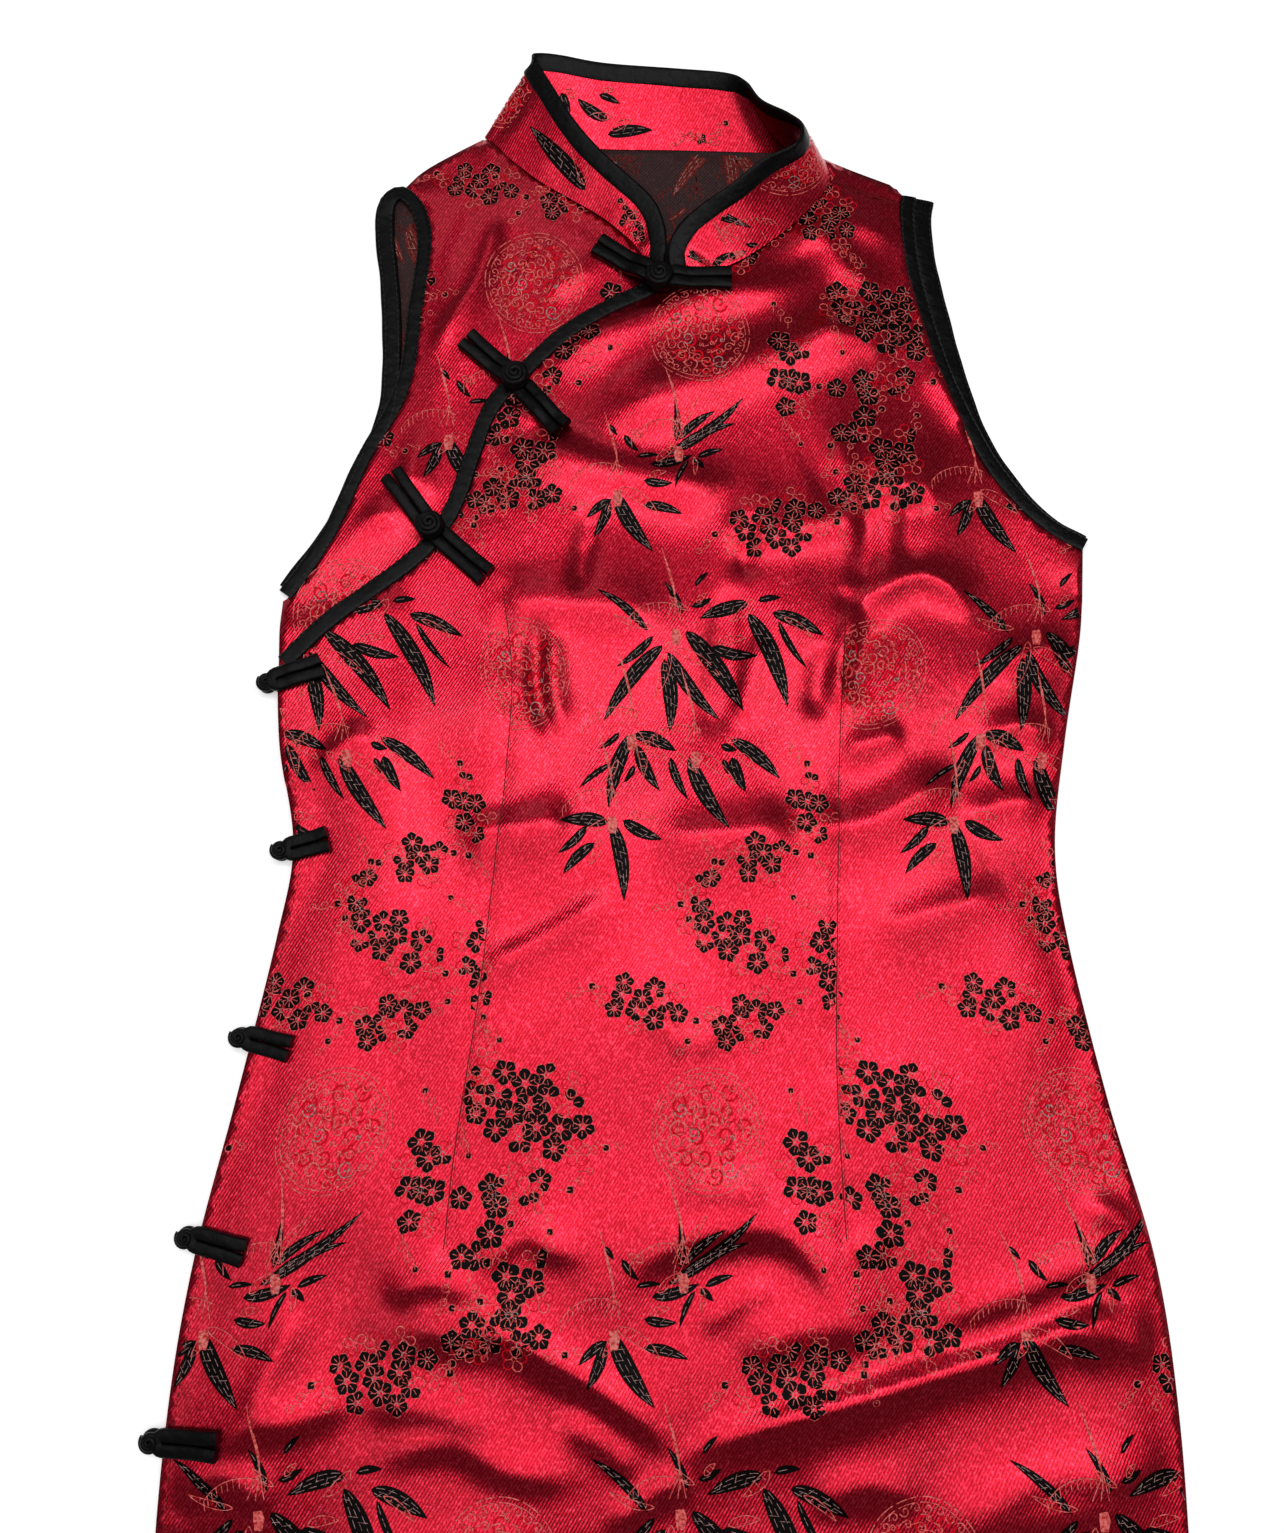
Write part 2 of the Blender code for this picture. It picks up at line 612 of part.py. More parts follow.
def strap(name, start, end, heights, made_of, half_height=CORD_HALF_HEIGHT):
    """Two flat cords side by side from the knot outwards, as one hairpin of cord that turns back at the knot."""
    start, end = np.array(start, float), np.array(end, float)
    way = (end - start) / np.linalg.norm(end - start)
    right = np.array([-way[1], way[0]])
    apart = CORD_HALF_WIDTH + 0.2
    turn = [start + apart * (1 - math.sin(a)) * way - apart * math.cos(a) * right
            for a in np.linspace(0, math.pi, 5)]
    run = end - start - apart * way
    flat = [turn[0] + run * (1 - i / 4) for i in range(4)] + turn + [turn[-1] + run * (i + 1) / 4 for i in range(4)]
    flat = np.array(flat)
    share = np.clip((flat - start) @ way / np.linalg.norm(end - start), 0, 1)
    path = np.column_stack([flat, np.interp(share, np.linspace(0, 1, len(heights)), heights)])
    along = np.gradient(path, axis=0)
    along /= np.linalg.norm(along, axis=1)[:, None]
    rings = []
    for p, t in zip(path, along):
        wide = np.cross(t, [0, 0, 1])
        wide /= np.linalg.norm(wide)
        up = np.cross(wide, t)
        rings.append([
            p + CORD_HALF_WIDTH * math.cos(a) * wide + half_height * math.sin(a) * up
            for a in np.arange(8) * math.pi / 4 + math.pi / 8
        ])
    return sweep(name, rings, made_of)


def knot(name, across, down, height, radius, made_of, squash=0.85):
    """The ball knot of a fastening, wound from cord, with shallow grooves between its turns."""
    work = bmesh.new()
    bmesh.ops.create_uvsphere(work, u_segments=12, v_segments=8, radius=radius)
    points = []
    for v in work.verts:
        turn = math.atan2(v.co.y, v.co.x)
        rise = v.co.z / radius
        groove = 1 - 0.07 * (1 - abs(rise)) * (0.5 + 0.5 * math.cos(4 * turn + 5 * rise))
        points.append((across + v.co.x * groove, down - v.co.y * groove, height + v.co.z * squash))
    faces = [[v.index for v in f.verts] for f in work.faces]
    work.free()
    return add_object(name, points, faces, made_of, 60)


def resting_heights(trees, start, end, count=5):
    """Heights for the middle of a strap that rests just above what lies below it."""
    start, end = np.array(start, float), np.array(end, float)
    found = []
    for t in np.linspace(0, 1, count):
        p = start + t * (end - start)
        below = top_below(trees, p[0], p[1], 2 * CORD_HALF_WIDTH + 0.6)
        found.append(below + CORD_HALF_HEIGHT + SEAM_GAP)
    spread = [max(found[max(0, i - 1): i + 2]) for i in range(count)]
    return [max(h, s - 2.4) for h, s in zip(found, spread)]


def front_fastenings(trees, made_of):
    for frog in FRONT_FROGS:
        centre = np.array([frog.across, frog.down], float)
        height = top_below(trees, *centre, KNOT_RADIUS * 0.8) + SEAM_GAP + KNOT_RADIUS * 0.75
        knot(f"frog_{frog.name}_knot", *centre, height, KNOT_RADIUS, made_of, 0.75)
        for which in ("left", "right"):
            end = np.array([getattr(frog, f"{which}_across"), getattr(frog, f"{which}_down")], float)
            way = (end - centre) / np.linalg.norm(end - centre)
            start = centre + (KNOT_RADIUS + CORD_HALF_WIDTH + SEAM_GAP) * way
            strap(f"frog_{frog.name}_{which}", start, end, resting_heights(trees, start, end), made_of)


def side_fastenings(trees, made_of):
    """Each joins the front to the back at the side opening, with its knot just past the edge."""
    for frog in SIDE_FROGS:
        edge = float(side_at(LEFT_SIDE, frog.down))
        centre = np.array([edge - SIDE_KNOT_RADIUS - 0.6, frog.down])
        height = SIDE_KNOT_RADIUS + 0.4
        knot(f"frog_{frog.name}_knot", *centre, height, SIDE_KNOT_RADIUS, made_of, 1.0)
        start = centre + [SIDE_KNOT_RADIUS + CORD_HALF_WIDTH + SEAM_GAP, 0]
        end = (frog.end_across, frog.end_down)
        strap(f"frog_{frog.name}_front", start, end, resting_heights(trees, start, end), made_of)
        low = BACK_CORD_HALF_HEIGHT * math.cos(math.pi / 8)
        end = start + [BACK_STRAP, 0]
        strap(f"frog_{frog.name}_back", start, end, [low, low], made_of, BACK_CORD_HALF_HEIGHT)


def build():
    clear_scene()
    brocade = material("brocade", (0.62, 0.012, 0.03), 0.38, 0.1)
    binding_black = material("binding", (0.012, 0.012, 0.015), 0.42)
    cord = material("cord", (0.014, 0.014, 0.017), 0.5)

    back = panel("back", back_outline(), back_underside, brocade, 26, 40)
    under = panel("front_under", under_outline(), under_underside, brocade)
    main = panel("front_main", main_outline(), main_underside, brocade)
    band, edge = collar(brocade, binding_black)

    low = BINDING_THICKNESS / 2
    high = ARMHOLE_HEIGHT + CLOTH / 2
    front, back_part = smooth(LEFT_FRONT_ARMHOLE, 14), smooth(LEFT_BACK_ARMHOLE, 14)
    line = smooth([*LEFT_FRONT_ARMHOLE, *LEFT_BACK_ARMHOLE], 14)
    over = ease((np.arange(len(line)) - len(front) + 1) / (len(line) - len(back_part) - len(front) + 4))
    width = FRONT_BINDING + over * (BACK_BINDING - FRONT_BINDING)
    level_binding("armhole_left", line, high + over * (low - high), width, binding_black)
    line = smooth(RIGHT_FRONT_ARMHOLE, 14)
    level_binding("armhole_right_front", line, high, FRONT_BINDING, binding_black)
    line = smooth(RIGHT_BACK_ARMHOLE, 14)
    level_binding("armhole_right_back", line, low, BACK_BINDING, binding_black)
    opening = smooth(OPENING, 12)
    lifted = lift(opening[:, 0], opening[:, 1], MAIN_REACH)
    height = MAIN_OVER_UNDER + low + lifted
    bound = level_binding("opening_binding", opening, height, OPENING_BINDING, binding_black)

    trees = [tree_of(o) for o in (back, under, main, bound, band, edge)]
    front_fastenings(trees, cord)
    side_fastenings(trees, cord)


build()
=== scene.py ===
"""The looks of a sleeveless maxi dress in red satin brocade, laid flat with its front up.

Sizes are in millimetres until a mesh is made, which is in metres. A place on the dress is given as
(across, down): across runs from the centre line to the right, and down runs from the level of the
shoulder tips towards the hem. The dress lies on z = 0 with its front up and its collar towards +Y.
"""

import math
from collections import namedtuple

import bmesh
import bpy
import numpy as np
from mathutils import Matrix, Vector
from mathutils.bvhtree import BVHTree
from mathutils.geometry import delaunay_2d_cdt


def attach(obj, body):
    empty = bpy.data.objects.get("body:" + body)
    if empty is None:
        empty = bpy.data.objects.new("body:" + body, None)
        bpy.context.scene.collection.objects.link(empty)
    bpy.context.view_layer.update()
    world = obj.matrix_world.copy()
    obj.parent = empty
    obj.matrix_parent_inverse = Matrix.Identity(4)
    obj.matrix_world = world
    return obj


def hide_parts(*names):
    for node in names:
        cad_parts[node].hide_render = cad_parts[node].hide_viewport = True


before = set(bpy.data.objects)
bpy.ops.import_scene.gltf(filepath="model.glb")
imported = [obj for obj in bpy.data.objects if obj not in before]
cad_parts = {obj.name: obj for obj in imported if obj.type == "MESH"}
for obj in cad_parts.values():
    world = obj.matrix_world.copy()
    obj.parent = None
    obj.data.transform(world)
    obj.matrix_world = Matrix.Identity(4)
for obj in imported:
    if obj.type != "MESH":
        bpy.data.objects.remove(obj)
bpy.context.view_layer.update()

MM = 0.001

# Driving sizes, as the solids have them
CLOTH = 1.3
SEAM_GAP = 0.3
BINDING_THICKNESS = 2.4
OPENING_BINDING = 9.6
COLLAR_BINDING = 11.0
FRONT_BINDING = 8.6
BACK_BINDING = 11.4
COLLAR_THICKNESS = 2.0
HEM_DOWN = 1330.0
SLIT_DOWN = 900.0
CORD_HALF_WIDTH, CORD_HALF_HEIGHT = 3.3, 2.2
KNOT_RADIUS = 8.0
SIDE_KNOT_RADIUS = 5.4

CENTRE_ACROSS = -7.05
CENTRE_DOWN = 624.5

BACK_TOP = CLOTH
SEAM_HEIGHT = BACK_TOP + SEAM_GAP
MAIN_OVER_UNDER = SEAM_HEIGHT + CLOTH + SEAM_GAP
ARMHOLE_HEIGHT = 3.6
NECK_HEIGHT = 5.0
INNER_HEIGHT = 4.4

SIDE_LIFT = 2.9
LIFT_FIRST, LIFT_LAST = 268.0, 700.0

Width = namedtuple("Width", "name down left right")
SIDES = [
    Width("under the arms", 250, -213.5, 224.0),
    Width("bust", 275, -213.5, 220.5),
    Width("under the bust", 330, -210.0, 209.0),
    Width("waist", 385, -200.0, 200.5),
    Width("below the waist", 434, -206.0, 204.0),
    Width("high hip", 515, -222.0, 219.0),
    Width("hip", 592, -238.0, 237.0),
    Width("low hip", 665, -246.0, 243.0),
    Width("thigh", 760, -248.0, 242.5),
    Width("slit", SLIT_DOWN, -247.0, 241.0),
    Width("hem", HEM_DOWN, -240.0, 234.0),
]
SLIT_DRAWN_IN = 7.0

# Edges and seams of the panels, as places on the dress
LEFT_SHOULDER = [(-107, -39), (-124.5, -29), (-142, -18), (-152, -9.5)]
RIGHT_SHOULDER = [(88.5, -24.5), (105.5, -16.5), (123, -9), (133, -4.8)]
BACK_NECK = [(-107, -38), (-60, -31.2), (0, -30.4), (50, -29), (88.5, -24.5)]
LEFT_FRONT_ARMHOLE = [
    (-212, 246.5), (-202, 232), (-190, 211), (-183, 194), (-176, 175),
    (-169, 159), (-158, 138), (-152, 121), (-149, 103), (-147, 76),
    (-144, 50), (-143, 29), (-146, 14), (-151, 5), (-157.5, -0.5),
]
LEFT_BACK_ARMHOLE = [
    (-163.5, 1.5), (-167, 9), (-166.6, 28), (-163.5, 51), (-161, 77),
    (-159.7, 105), (-160.6, 135), (-169, 163), (-178, 187), (-191, 212),
    (-203, 230), (-211.5, 243),
]
RIGHT_FRONT_ARMHOLE = [
    (139, 2.5), (137.4, 14), (138, 36), (141, 60), (148, 91),
    (157, 122), (168, 149), (180, 173), (196, 194.5), (211, 208.5),
    (227, 218),
]
RIGHT_BACK_ARMHOLE = [
    (148.5, 3), (146.5, 14), (147, 34), (150.6, 60), (156, 88),
    (162.5, 118), (169.4, 143), (180, 167.5), (196, 192), (211, 207),
    (226.5, 216.5),
]
OPENING = [
    (-1, 51), (-14, 62), (-34, 72), (-60, 89), (-84, 113),
    (-102, 136), (-112, 165), (-121, 194), (-136, 219), (-166, 245),
    (-190, 265), (-210, 286),
]
HIDDEN_EDGE = [
    (4, 62), (6, 100), (-18, 146), (-54, 190), (-84, 238),
    (-130, 290), (-208, 330),
]
LEFT_DART = [
    (-93, 243), (-87, 295), (-90, 355), (-96, 414), (-101, 465),
    (-111, 539), (-115, 587),
]
RIGHT_DART = [
    (94, 249), (90, 306), (87, 361), (85, 414), (83, 465),
    (82, 515), (84, 583),
]
# The right shoulder's seam, which the back panel reaches over the shoulder to
SHOULDER_SEAM = [(89, -12), (100, -6), (112, -1), (124, 3), (134, 7)]
# How much cloth is taken in on the outer side of a dart, at places down the dress
Intake = namedtuple("Intake", "down cloth")
DART_INTAKE = [
    Intake(245, 0), Intake(290, 8), Intake(370, 20), Intake(434, 23), Intake(530, 13), Intake(590, 0),
]

Section = namedtuple("Section", "name seam_across seam_down seam_z top_across top_down top_z")
COLLAR = [
    Section("left end", -12, 48, 7.4, -4.5, 51, 10.5),
    Section("left corner low", -17, 41, 7.3, -3, 37, 12.5),
    Section("left corner", -21, 34.5, 7.2, -5, 24, 14.5),
    Section("left corner high", -29, 26.5, 7.1, -11, 11, 16.5),
    Section("left front", -42, 15.5, 7.0, -23, -0.5, 18.5),
    Section("left front high", -60, 4, 7.0, -41.5, -17.5, 21),
    Section("left side front", -78, -8, 6.6, -57, -36, 23),
    Section("left side", -96, -24, 5.6, -69, -57, 23),
    Section("left fold front", -106, -33.5, 4.4, -76, -70, 22),
    Section("left fold", -109, -38, 3.4, -78.5, -77, 21),
    Section("left fold back", -104, -39.5, 2.2, -74.5, -80.5, 19.8),
    Section("left side back", -86, -36.5, 1.4, -63, -80.5, 19),
    Section("back left", -45, -32, 1.4, -38, -76.5, 18),
    Section("back", 5, -31, 1.4, 4, -72, 19),
    Section("back right", 40, -30, 1.4, 30, -67, 21.5),
    Section("back right high", 58, -29.8, 1.4, 41.5, -58, 25),
    Section("right side back", 72, -30, 1.6, 51, -42, 30),
    Section("right shoulder", 82, -29, 2.2, 65.5, -29, 36),
    Section("right fold", 88, -24.5, 3.4, 73, -19.5, 38),
    Section("right side", 92.5, -9, 5.4, 69, -8.5, 37),
    Section("right side front", 80.5, 10, 6.6, 50, -0.5, 33),
    Section("right front high", 62.5, 28, 7.0, 33, 10.5, 27.5),
    Section("right front", 42, 43, 7.0, 16, 19.5, 21.5),
    Section("right corner high", 29, 49.5, 7.1, 5, 27.5, 17),
    Section("right corner", 20, 53, 7.2, -1, 38, 13.5),
    Section("right end", 9, 55, 7.4, -0.5, 51, 10.5),
]

# Soft ridges of the front, where width is half of a ridge's foot and bow is how far its middle is
# pushed to the right of the straight line from its start to its end
Fold = namedtuple("Fold", "name from_across from_down to_across to_down bow height width")
FOLDS = [
    Fold("right thigh", 120, 706, 226, 690, 8, 3.4, 20),
    Fold("left thigh", -170, 742, -60, 716, 10, 4.0, 22),
    Fold("middle thigh", -20, 790, 120, 748, -12, 5.0, 24),
    Fold("long left", -120, 830, -150, 1060, 14, 5.0, 26),
    Fold("long middle", 24, 860, -8, 1130, -16, 5.6, 28),
    Fold("long right", 150, 820, 128, 1050, 12, 4.6, 26),
    Fold("left knee", -190, 1030, -90, 980, 10, 3.6, 24),
    Fold("right knee", 60, 1010, 190, 960, -10, 4.2, 24),
    Fold("hem left", -110, 1130, -128, 1300, -8, 4.6, 26),
    Fold("hem middle", 40, 1170, 52, 1316, 8, 4.6, 26),
    Fold("hem right", 160, 1120, 172, 1300, -6, 3.8, 24),
]
# Creases along smooth lines that run from left to right, and troughs where the height is less than 0.
# above and below are how far a crease's foot reaches towards the collar and towards the hem, and edge is
# 2 for a round crest and nearer 1 for a sharp one.
Crease = namedtuple("Crease", "name height above below edge line")
CREASES = [
    Crease("upper chest", 4.8, 12, 17, 1.7, [(-76, 121), (-50, 98), (-20, 83), (20, 69), (60, 62), (96, 46)]),
    Crease("chest", 7.4, 20, 24, 1.8, [
        (-50, 162), (-20, 138), (0, 126), (20, 118), (60, 102), (100, 90), (128, 92)]),
    Crease("lower chest", 4.6, 12, 20, 1.8, [(-106, 158), (-70, 163), (-40, 172), (0, 181), (44, 184)]),
    Crease("beside the frog", 3.4, 7, 13, 1.8, [(-98, 141), (-86, 139), (-72, 147)]),
    Crease("left bust top", 4.0, 22, 16, 1.8, [(-112, 256), (-70, 252), (-30, 254), (0, 260)]),
    Crease("middle bust", 5.0, 34, 14, 1.8, [(22, 204), (50, 210), (80, 206), (100, 196)]),
    Crease("bust left hollow", -3.6, 7, 7, 1.6, [(-42, 194), (-49, 220), (-53, 250)]),
    Crease("bust middle hollow", -3.0, 8, 7, 1.6, [(44, 196), (40, 220), (38, 240)]),
    Crease("bust right hollow", -3.8, 8, 8, 1.6, [(106, 190), (107, 218), (98, 246)]),
    Crease("right bust hollow", -3.2, 8, 8, 1.6, [(136, 186), (129, 212), (131, 236)]),
    Crease("right chest", 3.4, 12, 12, 1.8, [(84, 150), (94, 164), (98, 190), (96, 222)]),
    Crease("right chest high", 4.2, 12, 18, 1.7, [(78, 84), (100, 92), (126, 88)]),
    Crease("right chest side", 2.8, 10, 12, 1.8, [(146, 108), (158, 128), (170, 150)]),
    Crease("right chest low", 3.8, 24, 10, 1.8, [(108, 188), (128, 184), (150, 190)]),
    Crease("right shoulder", 2.6, 8, 12, 1.7, [(66, 2), (84, 18), (112, 22), (134, 34)]),
    Crease("right shoulder low", 3.0, 10, 12, 1.7, [(56, 44), (84, 30), (104, 52), (128, 62)]),
    Crease("neck to chest", 2.6, 6, 7, 1.6, [(62, -4), (70, 14), (76, 34)]),
    Crease("left shoulder outer", 3.2, 6, 7, 1.5, [(-147, 92), (-138, 56), (-124, 22), (-116, -2)]),
    Crease("left shoulder inner", 3.6, 7, 8, 1.5, [
        (-142, 116), (-130, 90), (-112, 60), (-100, 20), (-92, 2)]),
    Crease("left neck", 2.8, 8, 10, 1.7, [(-96, 66), (-76, 42), (-62, 14)]),
    Crease("left neck low", 2.8, 8, 9, 1.7, [(-72, 68), (-52, 50), (-40, 28)]),
    Crease("under the frog", 4.2, 28, 10, 1.7, [(-158, 178), (-132, 184), (-112, 192)]),
    Crease("under panel", 3.0, 9, 11, 1.7, [(-196, 236), (-172, 206), (-146, 196)]),
    Crease("under panel low", 2.4, 8, 10, 1.7, [(-186, 254), (-164, 230), (-150, 216)]),
    Crease("bust hook side", 6.0, 7, 7, 1.3, [(90, 318), (90, 290), (96, 262), (104, 250)]),
    Crease("bust hook top", 5.4, 11, 9, 1.4, [(98, 256), (112, 246), (132, 237), (150, 243), (162, 262)]),
    Crease("bust hook hollow", -3.4, 7, 9, 1.8, [(93, 312), (98, 288), (108, 270), (120, 260)]),
    Crease("beside the hook", -3.0, 8, 8, 1.8, [(76, 318), (78, 296), (84, 276)]),
    Crease("bust middle", -4.0, 9, 9, 1.7, [(16, 328), (26, 300), (28, 268), (34, 240)]),
    Crease("bust middle edge", 2.8, 7, 9, 1.5, [(34, 322), (42, 292), (50, 268)]),
    Crease("left bust hollow", -4.6, 5, 6, 1.5, [(-66, 326), (-73, 304), (-75, 282), (-74, 258)]),
    Crease("left bust edge", 2.8, 6, 7, 1.5, [(-58, 330), (-64, 306), (-65, 282), (-62, 262)]),
    Crease("waist pillow", 5.0, 14, 22, 1.7, [(-116, 382), (-92, 378), (-68, 374), (-50, 372)]),
    Crease("waist left", 3.0, 7, 14, 1.5, [(-106, 452), (-84, 442), (-56, 426), (-30, 408)]),
    Crease("under the bust", 4.4, 14, 24, 1.7, [(-16, 384), (20, 380), (48, 376), (66, 366)]),
    Crease("right waist", 5.4, 14, 20, 1.6, [(62, 384), (84, 376), (108, 370), (132, 356), (156, 346)]),
    Crease("right waist side", 2.6, 10, 16, 1.7, [(100, 432), (136, 420), (176, 408)]),
    Crease("right under bust", 3.0, 8, 10, 1.7, [(88, 336), (104, 330), (124, 324)]),
    Crease("right side of bust", 3.6, 8, 10, 1.6, [(166, 292), (184, 282), (206, 276), (220, 282)]),
    Crease("right side low", 3.2, 8, 10, 1.6, [(160, 330), (184, 320), (206, 330)]),
    Crease("right side waist", 2.8, 10, 12, 1.7, [(150, 372), (176, 362), (200, 366)]),
    Crease("left side of bust", 3.2, 8, 10, 1.6, [(-196, 350), (-180, 336), (-160, 320)]),
    Crease("middle vee left", 1.9, 7, 8, 1.5, [(-20, 470), (-4, 480), (8, 494)]),
    Crease("middle vee right", 1.9, 7, 8, 1.5, [(8, 494), (20, 482), (34, 476)]),
    Crease("hip dimple", 2.0, 14, 6, 1.6, [(-2, 561), (20, 559), (48, 562)]),
    Crease("arc", 5.4, 26, 11, 1.6, [(-30, 604), (-10, 590), (14, 580), (48, 578), (70, 594), (88, 626)]),
    Crease("under the arc", 2.2, 12, 7, 1.7, [(10, 626), (28, 612), (52, 602)]),
    Crease("left hip pleat", 3.4, 16, 8, 1.4, [(-106, 596), (-92, 590), (-74, 580), (-60, 587), (-38, 590)]),
    Crease("left hip pillow", 3.2, 14, 8, 1.6, [(-146, 612), (-128, 603), (-110, 603), (-92, 612)]),
    Crease("dart end", 2.4, 9, 7, 1.8, [(84, 588), (95, 585), (106, 588)]),
    Crease("left vee", 6.6, 16, 9, 1.3, [
        (-140, 624), (-104, 627), (-84, 627), (-62, 638), (-40, 650), (-20, 664), (2, 682)]),
    Crease("right vee", 7.6, 9, 14, 1.15, [
        (-6, 684), (8, 678), (40, 667), (80, 656), (120, 645), (160, 634), (200, 620), (238, 611)]),
    Crease("above the vee", 4.4, 24, 14, 1.7, [(26, 638), (56, 624), (84, 622), (104, 630)]),
    Crease("above the vee end", 3.4, 14, 9, 1.6, [
        (118, 624), (140, 616), (170, 606), (206, 594), (236, 598)]),
    Crease("left vee low", 2.6, 10, 9, 1.6, [(-60, 664), (-36, 676), (-16, 692)]),
    Crease("vee tip", 3.2, 10, 8, 1.5, [(-36, 716), (-12, 698), (10, 690)]),
    Crease("right hip side high", 3.2, 12, 8, 1.6, [(200, 566), (220, 572), (238, 580)]),
    Crease("right thigh", 4.2, 12, 18, 1.6, [(186, 634), (206, 626), (238, 630)]),
    Crease("right thigh low", 2.6, 16, 8, 1.7, [(140, 706), (176, 690), (216, 688), (240, 676)]),
    Crease("left thigh fan", 2.6, 9, 9, 1.6, [(-208, 668), (-196, 640), (-184, 612)]),
    Crease("left thigh fan low", 3.2, 12, 9, 1.6, [(-226, 684), (-206, 668), (-180, 664), (-150, 652)]),
    Crease("left thigh", 2.4, 14, 8, 1.7, [(-156, 660), (-120, 660), (-84, 670)]),
    Crease("left low", 3.0, 16, 8, 1.6, [(-150, 684), (-110, 676), (-78, 688), (-40, 690)]),
    Crease("left low side", 3.0, 12, 9, 1.7, [(-244, 700), (-216, 690), (-190, 706)]),
    Crease("right low", 3.0, 14, 10, 1.6, [(60, 704), (90, 694), (120, 700)]),
    Crease("collar pleat", 1.4, 6, 6, 1.8, [(38, 56), (46, 40), (54, 18)]),
]

Wave = namedtuple("Wave", "length way height start")
WAVES = [
    Wave(151, 24, 0.65, 0.3), Wave(118, 112, 0.60, 1.9), Wave(93, 66, 0.50, 4.1),
    Wave(83, 151, 0.45, 2.6), Wave(71, 8, 0.38, 5.2),
]

Frog = namedtuple("Frog", "name across down left_across left_down right_across right_down")
FRONT_FROGS = [
    Frog("neck", -7, 58, -43, 35, 34, 60),
    Frog("chest", -88, 120, -117, 95, -62, 151),
    Frog("armhole", -133, 209, -156, 178, -102, 237),
]
SideFrog = namedtuple("SideFrog", "name down end_across end_down")
SIDE_FROGS = [
    SideFrog("side_1", 297, -189, 288), SideFrog("side_2", 388, -181, 382),
    SideFrog("side_3", 484, -195, 490), SideFrog("side_4", 581, -212, 588),
    SideFrog("side_5", 674, -219, 675),
]
BACK_STRAP = 20.0

# How close the points of the seen cloth lie, down to the thighs and below them
FINE_STEP, COARSE_STEP, COARSE_FROM = 3.6, 8.0, 740.0
CURVE_STEP = 3.5

# The brocade's repeat, and what is woven in one repeat
REPEAT_ACROSS, REPEAT_DOWN = 200.0, 437.0
UNDER_SHIFT = (-95, -35)
Leaf = namedtuple("Leaf", "across down way length width")
Plant = namedtuple("Plant", "name across down leaves")
BAMBOO = [
    Plant("joint", 0, 268, [
        Leaf(-14, 0, 140, 36, 5), Leaf(-11, 3, 220, 26, 5), Leaf(-6, 8, 233, 52, 8.5),
        Leaf(-5, 16, 274, 40, 8.5), Leaf(-3, 12, 307, 46, 8), Leaf(7, 0, 304, 54, 10.5),
        Leaf(21, 8, 345, 25, 7), Leaf(41, -10, 291, 56, 10), Leaf(41, -16, 198, 28, 8),
        Leaf(54, -10, 335, 30, 8), Leaf(57, -5, 300, 30, 4), Leaf(12, -26, 48, 11, 3),
        Leaf(10, -14, 25, 12, 4), Leaf(46, -17, 8, 13, 4), Leaf(5, -10, 118, 21, 4),
    ]),
    Plant("left fan", -24, 326, [
        Leaf(1, -1, 254, 42, 8), Leaf(-5, -2, 220, 14, 3.5), Leaf(-9, 15, 218, 22, 3.5),
        Leaf(3, -1, 337, 24, 8), Leaf(4, 5, 296, 28, 7), Leaf(3, 16, 240, 11, 3.5),
        Leaf(22, 12, 292, 25, 5),
    ]),
    Plant("right fan", 10, 336, [
        Leaf(-2, 2, 298, 44, 9), Leaf(21, -8, 319, 33, 8), Leaf(21, 2, 290, 20, 7),
        Leaf(16, 3, 286, 9, 3.5), Leaf(15, -5, 340, 9, 4.5),
    ]),
    Plant("low fan", -34, 371, [
        Leaf(-1, 2, 178, 25, 8), Leaf(-12, 4, 224, 21, 5), Leaf(-8, 13, 225, 23, 6),
        Leaf(1, 2, 279, 42, 8), Leaf(7, 1, 333, 23, 7),
    ]),
    Plant("high fan", -32, 188, [
        Leaf(-2, 4, 217, 17, 5), Leaf(-3, 5, 247, 22, 6), Leaf(0, 0, 302, 40, 9),
        Leaf(16, 7, 346, 22, 5.5), Leaf(16, -6, 354, 16, 5), Leaf(-4, -40, 309, 8, 3),
        Leaf(5, -34, 310, 13, 4), Leaf(12, -21, 5, 13, 3),
    ]),
    Plant("spray", 2, 162, [
        Leaf(0, -4, 92, 23, 4), Leaf(1, -5, 39, 27, 5), Leaf(-6, 4, 38, 56, 6),
        Leaf(0, 0, 25, 37, 5), Leaf(-14, 10, 15, 24, 6), Leaf(9, 6, 320, 9, 4),
        Leaf(7, 7, 246, 19, 3), Leaf(12, 5, 20, 15, 4),
    ]),
]
Cluster = namedtuple("Cluster", "name across down way flowers long wide size")
